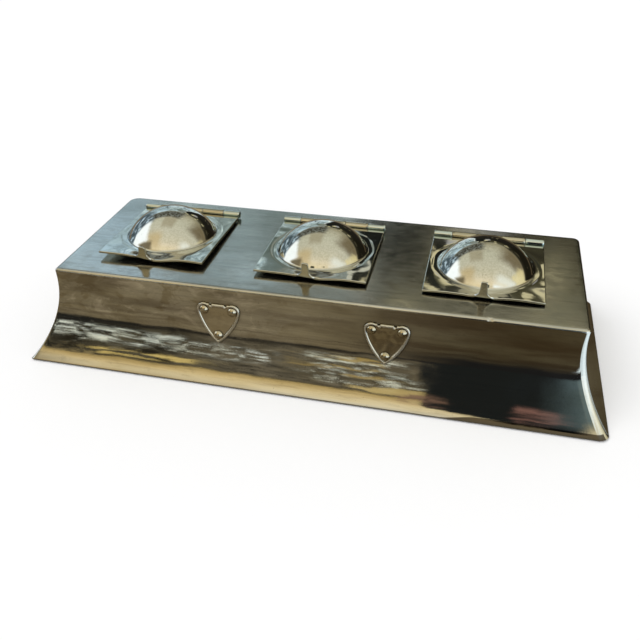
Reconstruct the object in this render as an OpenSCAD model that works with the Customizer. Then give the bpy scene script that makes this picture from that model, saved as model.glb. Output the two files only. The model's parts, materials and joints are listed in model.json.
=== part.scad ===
// Desk inkstand: a long box of sheet metal with hollow flared sides, two riveted heart
// plates on its front, and three ink pots under hinged lids that are domed in one sheet.
// Millimetres. +X runs to the right along the length, +Y to the back, +Z up.
// The origin is at the middle of the face that the inkstand stands on.

/* [Body] */
// Length of the flat top
top_length = 294.5; // [286:0.5:320]
// Width of the flat top, front to back
top_width = 103; // [98:0.5:120]
// How far the sides flare out between the top and the foot
flare = 17.75; // [14:0.25:22]
// Height of the metal body from its foot to its top
body_height = 54.4; // [50:0.2:66]
// Height of the straight band under the top, above the hollow of the sides
straight_band = 6.4; // [3:0.2:8]
// Thickness of the body sheet
sheet = 1.2; // [0.8:0.1:1.6]
// Radius of the top's corners in plan
top_corner_r = 1.2; // [0.6:0.1:1.6]
// Radius of the foot's corners in plan
foot_corner_r = 3; // [1:0.5:5]

/* [Base] */
// Thickness of the wooden base board
board_thick = 5; // [4:0.5:7]
// Gap between the base board and the sides all round
board_clear = 0.3; // [0.2:0.1:0.6]
// Thickness of the baize under the board, which the inkstand stands on
baize_thick = 0.8; // [0.6:0.1:1.2]
// How far the edge of the baize is set in from the foot's outline
baize_inset = 2; // [1.9:0.1:5]
// Diameter of the screws that hold the base board
base_screw_d = 3; // [2.5:0.1:3.5]
// Head diameter of those screws
base_screw_head_d = 5.6; // [5.2:0.1:6.2]
// How far a base screw reaches into its lug
base_screw_grip = 6; // [4:0.5:7]
// Clearance round a base screw's shank in the board
base_screw_clear = 0.2; // [0.1:0.05:0.4]
// Length of the lugs that the base screws go into
lug_length = 14; // [10:1:20]
// Height of those lugs
lug_height = 8; // [7.5:0.5:12]
// How far a lug reaches inwards past the line of the top's edge
lug_reach = 3; // [2:0.5:5]
// Distance of the base screws outwards from the line of the top's edge
base_screw_out = 3; // [2:0.25:4]
// Distance between neighbouring lugs along the length
lug_pitch = 125; // [100:1:130]

/* [Lids] */
// Distance from the left end of the top to the left lid
left_margin = 19.2; // [15:0.1:24]
// Distance from the right lid to the right end of the top
right_margin = 21.7; // [15:0.1:24]
// Width of a lid, which is also the length of its hinge
lid_width = 64.4; // [60:0.2:74]
// Distance from the hinge axis to a lid's front edge
lid_reach = 67.2; // [64:0.2:72]
// Thickness of the lid sheet
lid_sheet = 1.2; // [0.8:0.1:1.4]
// Radius of a lid's corners
lid_corner_r = 0.8; // [0.4:0.1:2]
// Gap between a lid's plate and the top, at the hinge
lid_hover = 1; // [0.9:0.05:1.2]
// Angle by which each lid stands up from flat at rest: left, centre, right
lid_rest_tilts = [1.7, 0.9, 0.3];
// Radius of the dome where it would meet the plate
dome_r = 26.6; // [25.8:0.1:28]
// Height of the dome above the plate
dome_height = 15.7; // [13:0.1:19]
// How far the middle of the dome lies behind the middle of the lid
dome_set_back = 0.1; // [0:0.1:1]
// Outer radius of the bend between the dome and the plate
dome_bend_r = 1.6; // [1:0.1:2.4]
// Width of each thumb tab at its tip: left, centre, right
tab_tip_widths = [4.4, 3.6, 4];
// Width of the thumb tab at its root
tab_root_w = 7.6; // [6.4:0.2:10]
// Height of each thumb tab above the plate: left, centre, right
tab_heights = [6, 7.6, 8.5];
// Radius of the tab's bend, on its inner side
tab_bend_r = 0.8; // [0.5:0.1:1.5]
// Radius of the tab's upper corners
tab_corner_r = 0.8; // [0.4:0.1:1.4]
// Distance of each tab from the middle of its lid: left, centre, right
tab_offsets = [-3.6, -1.7, 0];

/* [Hinges] */
// Distance from the top's rear edge to the hinge axis
hinge_inset = 17.5; // [16.5:0.25:19]
// Height of the hinge axis above the top
hinge_height = 2.6; // [2.45:0.05:3]
// Outer diameter of the hinge's knuckles
knuckle_d = 4.4; // [4:0.1:4.6]
// Diameter of the hinge pin
pin_d = 1.6; // [1.2:0.1:2]
// Clearance round the pin in the lid's knuckles
pin_clear = 0.05; // [0.03:0.01:0.08]
// Length of the outermost knuckles
end_knuckle = 10.7; // [9:0.1:13]
// Gap between neighbouring knuckles along the hinge
knuckle_gap = 0.2; // [0.1:0.05:0.4]
// Gap between a knuckle and the sheet that it turns against
knuckle_clear = 0.3; // [0.2:0.05:0.5]
// How far each end of the pin lies inside the hinge
pin_recess = 0.8; // [0.2:0.1:2]
// Thickness of the hinge's fixed leaf
leaf_thick = 0.6; // [0.4:0.05:0.65]
// Gap between the leaf's front edge and the flange of the ink pot
leaf_gap = 0.7; // [0.4:0.1:2]

/* [Ink pots] */
// Diameter of the wells in the top that the pots hang in
well_d = 47; // [42:0.5:48.5]
// Gap round a pot in its well
pot_clear = 0.4; // [0.2:0.05:0.8]
// How far a pot's flange reaches past the edge of its well
flange_lap = 2.5; // [1.75:0.05:3]
// Gap between a pot's flange and the lid over it
seat_clear = 0.3; // [0.2:0.05:0.5]
// Wall thickness of a pot
pot_wall = 3; // [2:0.25:4]
// Thickness of a pot's floor
pot_floor = 4; // [3:0.5:6]
// Depth of a pot below the top
pot_depth = 38; // [30:0.5:42]
// Radius of the pot's lower edge
pot_foot_r = 4; // [2:0.5:6]

/* [Heart plates] */
// Height of a heart's upper edge above the foot
heart_top = 44.3; // [41:0.1:46]
// Width of a heart
heart_width = 25; // [22:0.5:30]
// Height of a heart from its upper edge to its point
heart_height = 23.2; // [22:0.2:28]
// Thickness of a heart plate
heart_thick = 1.2; // [0.8:0.1:1.6]
// Radius of a heart's two upper lobes
lobe_r = 4.2; // [3.4:0.1:4.6]
// Radius of a heart's curved sides
heart_side_r = 38; // [30:1:60]
// How far the middle of the upper edge lies below the lobes
heart_brow = 0.4; // [0.2:0.1:0.8]
// Radius of the two nicks in the upper edge
nick_r = 0.9; // [0.6:0.1:1.2]
// Distance of a nick's middle from the start of the lobe beside it
nick_out = 2; // [1.4:0.1:2.6]
// Diameter of a rivet's head
rivet_head_d = 5; // [4.4:0.1:5.4]
// Height of a rivet's head
rivet_head_h = 1.4; // [1:0.1:2]
// Diameter of a rivet's shank
rivet_d = 2.2; // [1.6:0.1:2.6]
// Diameter of a rivet's closed inner end
rivet_tail_d = 3.6; // [3.2:0.1:4.4]
// Thickness of a rivet's closed inner end
rivet_tail_h = 0.8; // [0.5:0.1:1.2]
// Height of the lowest rivet above the heart's point
low_rivet_rise = 4.6; // [4.4:0.1:7]

/* [Hidden] */
$fn = 96;
round_fn = 48;
pots = [0, 1, 2];
hearts = [0, 1];
spare = 1;
foot_z = baize_thick;
top_z = foot_z + body_height;
half_length = top_length / 2;
half_width = top_width / 2;
// The hollow of the sides is an arc that starts upright below the straight band.
hollow_drop = body_height - straight_band;
hollow_r = (hollow_drop * hollow_drop + flare * flare) / (2 * flare);
board_z = foot_z + board_thick;
screw_head_h = (base_screw_head_d - base_screw_d) / 2;
screw_slot_w = base_screw_d / 4;
screw_slot_depth = screw_head_h / 2;
// The lids stand evenly between the ends of the top, and the hearts are midway between them.
left_pot_x = left_margin + lid_width / 2 - half_length;
lid_pitch = (top_length - left_margin - right_margin - lid_width) / 2;
// The dome is over its pot, and the hinge's leaf ends behind the pot's flange.
dome_back = lid_reach / 2 - dome_set_back;
flange_r = well_d / 2 + flange_lap;
leaf_reach = dome_back - flange_r - leaf_gap;
axis_y = half_width - hinge_inset;
axis_z = top_z + hinge_height;
knuckle_r = knuckle_d / 2;
inner_knuckle = (lid_width - 2 * end_knuckle) / 3;
knuckle_ends = [0, end_knuckle, end_knuckle + inner_knuckle, lid_width - end_knuckle - inner_knuckle,
    lid_width - end_knuckle, lid_width];
// The dome is a cap of a sphere, and its bend is an arc that touches both sphere and plate.
plate_under = lid_hover - hinge_height;
plate_over = plate_under + lid_sheet;
dome_outer_r = (dome_r * dome_r + dome_height * dome_height) / (2 * dome_height);
dome_inner_r = dome_outer_r - lid_sheet;
dome_centre_z = plate_over + dome_height - dome_outer_r;
bend_z = plate_over + dome_bend_r;
bend_outer_r = dome_bend_r + lid_sheet;
bend_x = sqrt(pow(dome_outer_r + dome_bend_r, 2) - pow(bend_z - dome_centre_z, 2));
pot_r = well_d / 2 - pot_clear;
low_rivet_z = heart_top - heart_height + low_rivet_rise;
high_rivet_z = heart_top - lobe_r;
lobe_centre = [heart_width / 2 - lobe_r, -lobe_r];

function pot_x(i) = left_pot_x + i * lid_pitch;

// Hearts are counted from the left too
function heart_x(i) = pot_x(i + 1 / 2);

// Height of the lid's underside above its flat part, over a ring of radius r about the dome's middle
function bend_rise(r) = r >= bend_x ? 0 : bend_outer_r - sqrt(pow(bend_outer_r, 2) - pow(bend_x - r, 2));

// A pot's flange is as thick as the tilt of the lid over it leaves room for, at its rear edge
function flange_thick(i) =
    lid_hover + (dome_back - flange_r) * tan(lid_rest_tilts[i]) + bend_rise(flange_r) - seat_clear;

// Angle below level, about the hollow's centre, of a point at height z above the foot
function hollow_angle(z) = asin((hollow_drop - z) / hollow_r);

// Angle of a vector from the x axis
function direction(v) = atan2(v[1], v[0]);

// Points along an arc
function arc(centre, r, from, to, steps) =
    [for (k = [0:steps]) let (a = from + (to - from) * k / steps) centre + r * [cos(a), sin(a)]];

// Where circles about p and q, of radii r and s, meet on the right of the line from p to q
function meeting(p, r, q, s) =
    let (run = norm(q - p), along = (q - p) / run, reach = (r * r - s * s + run * run) / (2 * run))
    p + reach * along + sqrt(r * r - reach * reach) * [along[1], -along[0]];

module rounded_rectangle(length, width, r) {
    square([length - 2 * r, width], center = true);
    square([length, width - 2 * r], center = true);
    for (x = [-1, 1], y = [-1, 1])
        translate([x * (length / 2 - r), y * (width / 2 - r)])
            circle(r, $fn = round_fn);
}

// Places a piece drawn on the front side at each side in turn: out is the line of the top's edge
module along_front(out) {
    translate([0, -out, foot_z]) rotate([90, 0, -90]) children();
}

// Section of a side: outwards from the top's edge along x, and up from the foot along y
module side_section() {
    translate([-sheet, hollow_drop]) square([sheet, straight_band - sheet]);
    intersection() {
        translate([hollow_r, hollow_drop])
            difference() {
                circle(hollow_r + sheet);
                circle(hollow_r);
            }
        translate([-sheet - spare, 0]) square([flare + sheet + 2 * spare, hollow_drop]);
    }
}

// Plan of a side between the mitres at its two corners, for a side on the front
module side_plan(run, out) {
    near = -sheet - spare;
    far = flare + spare;
    intersection() {
        polygon([[-run / 2 - near, -out - near], [run / 2 + near, -out - near],
            [run / 2 + far, -out - far], [-run / 2 - far, -out - far]]);
        rounded_rectangle(run + 2 * flare, 2 * (out + flare), foot_corner_r);
    }
}

module side_panel(run, out) {
    intersection() {
        along_front(out) linear_extrude(run + 2 * flare + 2 * spare, center = true) side_section();
        linear_extrude(top_z) side_plan(run, out);
    }
}

// All that lies outside the inner face of a side, let in by a further gap
module outside_of_side(run, out, gap) {
    along_front(out)
        translate([hollow_r, hollow_drop, 0])
            cylinder(r = hollow_r + sheet + gap, h = run + 2 * flare + 2 * spare, center = true);
}

// The centres of the base screws
module at_base_screws() {
    for (x = [-1, 0, 1], side = [0, 180])
        rotate([0, 0, side]) translate([x * lug_pitch, -half_width - base_screw_out, 0]) children();
}

// A base screw's shape from the underside of its head upwards
module base_screw_shape(shank_r, reach) {
    cylinder(r1 = base_screw_head_d / 2, r2 = base_screw_d / 2, h = screw_head_h, $fn = round_fn);
    cylinder(r = shank_r, h = reach, $fn = round_fn);
}

module top_plate() {
    color("silver")
        translate([0, 0, top_z - sheet])
            linear_extrude(sheet)
                difference() {
                    rounded_rectangle(top_length, top_width, top_corner_r);
                    for (i = pots)
                        translate([pot_x(i), axis_y - dome_back]) circle(d = well_d);
                }
}

module front_panel() {
    color("silver")
        difference() {
            side_panel(top_length, half_width);
            for (i = hearts) rivet_places(i) rivet_shank();
        }
}

module rear_panel() {
    color("silver") rotate([0, 0, 180]) side_panel(top_length, half_width);
}

module left_end_panel() {
    color("silver") rotate([0, 0, -90]) side_panel(top_width, half_length);
}

module right_end_panel() {
    color("silver") rotate([0, 0, 90]) side_panel(top_width, half_length);
}

module base_board() {
    color("saddlebrown")
        difference() {
            translate([-half_length - flare, -half_width - flare, foot_z])
                cube([top_length + 2 * flare, top_width + 2 * flare, board_thick]);
            for (side = [0, 180]) {
                rotate([0, 0, side]) outside_of_side(top_length, half_width, board_clear);
                rotate([0, 0, side + 90]) outside_of_side(top_width, half_length, board_clear);
            }
            at_base_screws()
                translate([0, 0, foot_z])
                    base_screw_shape(base_screw_d / 2 + base_screw_clear, board_thick + spare);
        }
}

module base_baize() {
    color("darkgreen")
        linear_extrude(baize_thick)
            rounded_rectangle(
                top_length + 2 * (flare - baize_inset), top_width + 2 * (flare - baize_inset), foot_corner_r);
}

module base_lugs() {
    color("goldenrod")
        for (x = [-1, 0, 1], side = [0, 180])
            rotate([0, 0, side])
                difference() {
                    translate([x * lug_pitch - lug_length / 2, -half_width - flare, board_z])
                        cube([lug_length, flare + lug_reach, lug_height]);
                    outside_of_side(top_length, half_width, 0);
                    translate([x * lug_pitch, -half_width - base_screw_out, board_z - spare])
                        cylinder(d = base_screw_d, h = lug_height + 2 * spare, $fn = round_fn);
                }
}

module base_screws() {
    color("goldenrod")
        at_base_screws()
            translate([0, 0, foot_z])
                difference() {
                    base_screw_shape(base_screw_d / 2, board_thick + base_screw_grip);
                    translate([-base_screw_head_d / 2, -screw_slot_w / 2, -spare])
                        cube([base_screw_head_d, screw_slot_w, spare + screw_slot_depth]);
                }
}

// Right half of a heart's outline: a nick, a lobe, and a side that runs on from the lobe to the point
function heart_half() =
    let (brow_start = lobe_centre[0] - sqrt(pow(lobe_r, 2) - pow(lobe_r - heart_brow, 2)),
        nick = [brow_start - nick_out, -heart_brow],
        lobe_turn = asin((lobe_r - heart_brow) / lobe_r),
        point = [0, -heart_height],
        side = meeting(lobe_centre, heart_side_r - lobe_r, point, heart_side_r),
        shoulder = direction(lobe_centre - side))
    concat(
        arc(nick, nick_r, 180, 360, 8),
        arc(lobe_centre, lobe_r, 180 - lobe_turn, shoulder, 16),
        arc(side, heart_side_r, shoulder, direction(point - side), 10));

// Outline of a heart, with the middle of its upper edge's line at the origin
module heart_outline() {
    half = heart_half();
    mirrored = [for (k = [len(half) - 2:-1:0]) [-half[k][0], half[k][1]]];
    polygon(concat(half, mirrored));
}

// Places a piece at the rivets of one heart, with z pointing out of the front panel's face
module rivet_places(i) {
    for (spot = [[-lobe_centre[0], high_rivet_z], [lobe_centre[0], high_rivet_z], [0, low_rivet_z]])
        translate([heart_x(i) + spot[0], -half_width - hollow_r, foot_z + hollow_drop])
            rotate([90 - hollow_angle(spot[1]), 0, 0])
                translate([0, 0, -hollow_r])
                    children();
}

module rivet_shank() {
    translate([0, 0, -sheet - rivet_tail_h])
        cylinder(d = rivet_d, h = sheet + rivet_tail_h + heart_thick + rivet_head_h / 2, $fn = round_fn);
}

// A round bar along the length, about the centre of the front's hollow
module hollow_bar(r) {
    translate([0, -half_width - hollow_r, foot_z + hollow_drop])
        rotate([0, 90, 0]) cylinder(r = r, h = top_length, center = true);
}

module heart_plate(i) {
    color("lightgray")
        difference() {
            intersection() {
                difference() {
                    hollow_bar(hollow_r);
                    hollow_bar(hollow_r - heart_thick);
                }
                translate([heart_x(i), -half_width + spare, foot_z + heart_top])
                    rotate([90, 0, 0]) linear_extrude(flare + 2 * spare) heart_outline();
            }
            rivet_places(i) rivet_shank();
        }
}

// Half section of a rivet: the rim of its round head touches the heart plate's hollow face
module rivet_section() {
    head_r = (pow(rivet_head_d / 2, 2) + pow(rivet_head_h, 2)) / (2 * rivet_head_h);
    face_r = hollow_r - heart_thick;
    seat = heart_thick + face_r - sqrt(pow(face_r, 2) - pow(rivet_head_d / 2, 2));
    translate([0, -sheet - rivet_tail_h])
        square([rivet_d / 2, sheet + rivet_tail_h + seat + rivet_head_h / 2]);
    translate([0, -sheet - rivet_tail_h]) square([rivet_tail_d / 2, rivet_tail_h]);
    intersection() {
        translate([0, seat + rivet_head_h - head_r]) circle(head_r);
        translate([0, seat]) square([rivet_head_d, rivet_head_h]);
    }
}

module heart_rivets(i) {
    color("lightgray") rivet_places(i) rotate_extrude($fn = round_fn) rivet_section();
}

// An ink pot hangs in its well by its flange
module ink_pot(i) {
    thick = flange_thick(i);
    bore_r = pot_r - pot_wall;
    color("lightcyan")
        translate([pot_x(i), axis_y - dome_back, top_z])
            rotate_extrude()
                difference() {
                    union() {
                        square([flange_r, thick]);
                        translate([0, pot_foot_r - pot_depth])
                            square([pot_r, pot_depth - pot_foot_r + thick / 2]);
                        translate([0, -pot_depth]) square([pot_r - pot_foot_r, pot_foot_r]);
                        intersection() {
                            translate([pot_r - pot_foot_r, pot_foot_r - pot_depth])
                                circle(pot_foot_r, $fn = round_fn);
                            translate([0, -pot_depth]) square([pot_r, pot_foot_r]);
                        }
                    }
                    translate([0, pot_floor - pot_depth]) square([bore_r, pot_depth + thick]);
                }
}

// Places a piece at a hinge, with its origin on the axis at the middle of the lid
module at_hinge(i) {
    translate([pot_x(i), axis_y, axis_z]) children();
}

module at_lid(i) {
    at_hinge(i) rotate([-lid_rest_tilts[i], 0, 0]) children();
}

// A bar along the hinge over the stretch of one knuckle, longer or shorter by a gap at each end
module knuckle_bar(k, r, gap) {
    translate([knuckle_ends[k] - lid_width / 2 + gap, 0, 0])
        rotate([0, 90, 0])
            cylinder(r = r, h = knuckle_ends[k + 1] - knuckle_ends[k] - 2 * gap, $fn = round_fn);
}

module hinge_leaf(i) {
    color("silver")
        at_hinge(i)
            difference() {
                union() {
                    translate([-lid_width / 2, -leaf_reach, -hinge_height])
                        cube([lid_width, leaf_reach - knuckle_r - knuckle_clear, leaf_thick]);
                    for (k = [1, 3]) {
                        start = knuckle_ends[k] - lid_width / 2 + knuckle_gap / 2;
                        length = knuckle_ends[k + 1] - knuckle_ends[k] - knuckle_gap;
                        knuckle_bar(k, knuckle_r, knuckle_gap / 2);
                        translate([start, -leaf_reach, -hinge_height]) cube([length, leaf_reach, leaf_thick]);
                    }
                }
                for (k = [1, 3]) knuckle_bar(k, pin_d / 2, -spare);
            }
}

module hinge_pin(i) {
    color("darkgray")
        at_hinge(i)
            rotate([0, 90, 0])
                cylinder(d = pin_d, h = lid_width - 2 * pin_recess, center = true, $fn = round_fn);
}

module lid_knuckles(i) {
    color("silver")
        at_lid(i)
            for (k = [0, 2, 4])
                difference() {
                    knuckle_bar(k, knuckle_r, k == 2 ? knuckle_gap / 2 : 0);
                    knuckle_bar(k, pin_d / 2 + pin_clear, -spare);
                    if (k == 0) knuckle_trim(knuckle_ends[1]);
                    if (k == 4) knuckle_trim(knuckle_ends[4]);
                }
}

// Takes half a gap off an end knuckle on its inner side
module knuckle_trim(x) {
    translate([x - lid_width / 2 - knuckle_gap / 2, -knuckle_d, -knuckle_d])
        cube([knuckle_gap, 2 * knuckle_d, 2 * knuckle_d]);
}

// Section of the dome and its bend: outwards from the dome's middle along x, and up along y
module dome_section() {
    high = dome_centre_z + dome_outer_r + spare;
    intersection() {
        translate([0, dome_centre_z])
            difference() {
                circle(dome_outer_r);
                circle(dome_inner_r);
            }
        polygon([[0, dome_centre_z], [bend_x, bend_z], [bend_x, high], [0, high]]);
    }
    intersection() {
        translate([bend_x, bend_z])
            difference() {
                circle(bend_outer_r, $fn = round_fn);
                circle(dome_bend_r, $fn = round_fn);
            }
        polygon([[bend_x, bend_z], [0, dome_centre_z], [bend_x, dome_centre_z]]);
    }
    translate([bend_x, plate_under]) square([spare, lid_sheet]);
}

// Section of a thumb tab, seen along the hinge: the plate turns up through a bend at its front edge
module tab_section(height) {
    bend_y = -lid_reach + lid_sheet + tab_bend_r;
    translate([bend_y, plate_under]) square([tab_bend_r, lid_sheet]);
    translate([-lid_reach, plate_over + tab_bend_r]) square([lid_sheet, height - tab_bend_r]);
    intersection() {
        translate([bend_y, plate_over + tab_bend_r])
            difference() {
                circle(lid_sheet + tab_bend_r, $fn = round_fn);
                circle(tab_bend_r, $fn = round_fn);
            }
        translate([-lid_reach, plate_under]) square(lid_sheet + tab_bend_r);
    }
}

// Front view of a thumb tab: it narrows to its tip, which has round corners
module tab_front(width, height) {
    tip = plate_over + height;
    root = plate_over + tab_bend_r;
    polygon([[-tab_root_w / 2, plate_under - spare], [tab_root_w / 2, plate_under - spare],
        [tab_root_w / 2, root], [width / 2, tip - tab_corner_r],
        [-width / 2, tip - tab_corner_r], [-tab_root_w / 2, root]]);
    translate([-width / 2 + tab_corner_r, tip - 2 * tab_corner_r])
        square([width - 2 * tab_corner_r, 2 * tab_corner_r]);
    for (side = [-1, 1])
        translate([side * (width / 2 - tab_corner_r), tip - tab_corner_r])
            circle(tab_corner_r, $fn = round_fn);
}

// A lid is one sheet: a plate that rises into the dome, and turns up into the thumb tab
module lid(i) {
    plate_depth = lid_reach + lid_corner_r;
    tab_x = tab_offsets[i];
    color("gainsboro")
        at_lid(i) {
            difference() {
                translate([0, -lid_reach + plate_depth / 2, plate_under])
                    linear_extrude(lid_sheet) rounded_rectangle(lid_width, plate_depth, lid_corner_r);
                translate([0, -dome_back, plate_under - spare])
                    cylinder(r = bend_x + spare / 2, h = lid_sheet + 2 * spare);
                translate([-lid_width, -knuckle_r / 2, plate_under - spare])
                    cube([2 * lid_width, 2 * knuckle_d, lid_sheet + 2 * spare]);
                for (k = [0, 2, 4]) knuckle_bar(k, knuckle_r, -knuckle_gap / 4);
                for (k = [1, 3]) knuckle_bar(k, knuckle_r + knuckle_clear, -knuckle_gap / 2);
                translate([tab_x - tab_root_w / 2, -lid_reach - spare, plate_under - spare])
                    cube([tab_root_w, lid_sheet + tab_bend_r + spare, lid_sheet + 2 * spare]);
            }
            translate([0, -dome_back, 0]) rotate_extrude() dome_section();
            intersection() {
                translate([tab_x, 0, 0])
                    rotate([90, 0, 90])
                        linear_extrude(2 * tab_root_w, center = true) tab_section(tab_heights[i]);
                translate([tab_x, -lid_reach / 2, 0])
                    rotate([90, 0, 0]) linear_extrude(lid_reach) tab_front(tab_tip_widths[i], tab_heights[i]);
            }
        }
}

top_plate();
front_panel();
rear_panel();
left_end_panel();
right_end_panel();
base_board();
base_baize();
base_lugs();
base_screws();
heart_plate(0);  // heart_plate_left
heart_plate(1);  // heart_plate_right
heart_rivets(0);  // heart_rivets_left
heart_rivets(1);  // heart_rivets_right
ink_pot(0);  // left_ink_pot
ink_pot(1);  // centre_ink_pot
ink_pot(2);  // right_ink_pot
hinge_leaf(0);  // left_hinge_leaf
hinge_leaf(1);  // centre_hinge_leaf
hinge_leaf(2);  // right_hinge_leaf
hinge_pin(0);  // left_hinge_pin
hinge_pin(1);  // centre_hinge_pin
hinge_pin(2);  // right_hinge_pin
lid(0);  // left_lid
lid(1);  // centre_lid
lid(2);  // right_lid
lid_knuckles(0);  // left_lid_knuckles
lid_knuckles(1);  // centre_lid_knuckles
lid_knuckles(2);  // right_lid_knuckles
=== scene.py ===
import json
import math

import bmesh
import bpy
import numpy as np
from mathutils import Matrix, Vector, noise
from mathutils.kdtree import KDTree

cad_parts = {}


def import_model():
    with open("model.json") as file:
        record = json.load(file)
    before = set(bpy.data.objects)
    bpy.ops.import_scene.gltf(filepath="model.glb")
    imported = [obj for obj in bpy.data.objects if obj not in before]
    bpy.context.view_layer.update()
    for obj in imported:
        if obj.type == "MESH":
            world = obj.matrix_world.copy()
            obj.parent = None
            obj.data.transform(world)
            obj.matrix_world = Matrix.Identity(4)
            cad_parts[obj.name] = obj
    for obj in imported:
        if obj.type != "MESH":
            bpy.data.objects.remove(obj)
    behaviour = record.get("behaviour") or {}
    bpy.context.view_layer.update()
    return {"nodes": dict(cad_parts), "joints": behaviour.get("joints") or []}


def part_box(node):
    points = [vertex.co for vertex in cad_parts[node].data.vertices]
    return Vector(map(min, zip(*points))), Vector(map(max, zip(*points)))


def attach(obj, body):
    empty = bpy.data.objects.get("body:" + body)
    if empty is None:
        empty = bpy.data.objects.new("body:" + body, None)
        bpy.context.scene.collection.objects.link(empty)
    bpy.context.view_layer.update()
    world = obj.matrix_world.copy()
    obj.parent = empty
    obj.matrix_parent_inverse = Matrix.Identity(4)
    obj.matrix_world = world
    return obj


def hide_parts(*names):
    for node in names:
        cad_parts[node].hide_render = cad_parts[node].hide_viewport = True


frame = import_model()

MM = 0.001
SIDES = ("left", "centre", "right")

# Sizes read from the frame, in metres
TOP_LOW, TOP_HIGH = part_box("top_plate")
SHEET = TOP_HIGH.z - TOP_LOW.z
TOP_Z = TOP_HIGH.z
HALF_LENGTH = TOP_HIGH.x
HALF_WIDTH = TOP_HIGH.y
FRONT_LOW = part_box("front_panel")[0]
FOOT_Z = FRONT_LOW.z
FLARE = -FRONT_LOW.y - HALF_WIDTH
HINGES = [Vector(j["pos_m"]) for j in frame["joints"]]

# Sizes that the frame doesn't give, as in the part's source
STRAIGHT_BAND = 6.4 * MM
HOLLOW_DROP = TOP_Z - FOOT_Z - STRAIGHT_BAND
HOLLOW_R = (HOLLOW_DROP**2 + FLARE**2) / (2 * FLARE)
LID_TILTS = [math.radians(a) for a in (1.7, 0.9, 0.3)]
LID_SHEET = 1.2 * MM
LID_HOVER = 1.0 * MM
LID_REACH = 67.2 * MM
DOME_R = 26.6 * MM
DOME_HEIGHT = 15.7 * MM
DOME_BEND_R = 1.6 * MM
KNUCKLE_R = 2.2 * MM
KNUCKLE_GAP = 0.2 * MM
END_KNUCKLE = 10.7 * MM
PIN_R = 0.8 * MM
LEAF_THICK = 0.6 * MM
WELL_R = 23.5 * MM
HEART_TOP = 44.3 * MM
HEART_WIDTH = 25 * MM
HEART_HEIGHT = 23.2 * MM
HEART_THICK = 1.2 * MM
LOBE_R = 4.2 * MM
RIVET_HEAD_R = 2.5 * MM
RIVET_HEAD_H = 1.4 * MM
LOW_RIVET_RISE = 4.6 * MM
LEAF_LOW, LEAF_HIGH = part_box("left_hinge_leaf")
LID_WIDTH = LEAF_HIGH.x - LEAF_LOW.x
LEAF_REACH = HINGES[0].y - LEAF_LOW.y
POT_LOW, POT_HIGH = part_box("left_ink_pot")
DOME_BACK = HINGES[0].y - (POT_LOW.y + POT_HIGH.y) / 2
LID_FRONT = DOME_BACK - LID_REACH
INNER_KNUCKLE = (LID_WIDTH - 2 * END_KNUCKLE) / 3


# Meshes

def linked(name, data):
    """A new object in the scene."""
    obj = bpy.data.objects.new(name, data)
    bpy.context.scene.collection.objects.link(obj)
    return obj


def mesh_object(name, verts, faces, sharp=None):
    """A new smooth object from points and faces, with doubled points welded and its faces turned outwards.
    Edges sharper than this many degrees stay sharp."""
    mesh = bpy.data.meshes.new(name)
    mesh.from_pydata([tuple(map(float, v)) for v in verts], [], [tuple(map(int, f)) for f in faces])
    b = bmesh.new()
    b.from_mesh(mesh)
    bmesh.ops.remove_doubles(b, verts=b.verts, dist=1e-6)
    bmesh.ops.dissolve_degenerate(b, edges=b.edges, dist=1e-7)
    bmesh.ops.recalc_face_normals(b, faces=b.faces)
    b.normal_update()
    for face in b.faces:
        face.smooth = True
    for edge in b.edges:
        if sharp and len(edge.link_faces) == 2:
            edge.smooth = edge.calc_face_angle() < math.radians(sharp)
    b.to_mesh(mesh)
    b.free()
    return linked(name, mesh)


def grid_faces(rows, columns, start=0, wrap_rows=False, wrap_columns=False):
    """Faces over a grid of points that is stored row by row."""
    faces = []
    for r in range(rows if wrap_rows else rows - 1):
        for c in range(columns if wrap_columns else columns - 1):
            r2, c2 = (r + 1) % rows, (c + 1) % columns
            faces.append((start + r * columns + c, start + r2 * columns + c,
                          start + r2 * columns + c2, start + r * columns + c2))
    return faces


def lathe(profile, steps):
    """Points and faces of a closed profile of (radius, height) points, turned about z."""
    angles = np.arange(steps) * 2 * math.pi / steps
    verts = [(r * math.cos(a), r * math.sin(a), z) for a in angles for r, z in profile]
    return verts, grid_faces(steps, len(profile), wrap_rows=True, wrap_columns=True)


def arc(centre, r, first, last, steps):
    """Points of an arc, with its angles in degrees."""
    turns = np.radians(np.linspace(first, last, steps + 1))
    return [(centre[0] + r * math.cos(a), centre[1] + r * math.sin(a)) for a in turns]


def finish_piece(obj, body, slot, material, *nodes):
    """Gives a piece its material and its body, and hides the nodes that it stands for."""
    obj.data.materials.append(material)
    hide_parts(*nodes)
    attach(obj, body)


def wander(point, scale, seed):
    """Smooth noise from -1 to 1 at a point, with features of about this size."""
    p = Vector(point) / scale
    return noise.noise(Vector((p.x + seed, p.y - 2 * seed, p.z + 3 * seed)))


def smoothstep(low, high, x):
    t = np.clip((x - low) / (high - low), 0, 1)
    return t * t * (3 - 2 * t)


def mark(obj, name, points, values):
    """Stores a value per point on a mesh, taken from the nearest of the given points."""
    tree = KDTree(len(points))
    for i, point in enumerate(points):
        tree.insert(point, i)
    tree.balance()
    layer = obj.data.attributes.new(name, "FLOAT", "POINT")
    layer.data.foreach_set("value", [values[tree.find(v.co)[1]] for v in obj.data.vertices])
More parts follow.
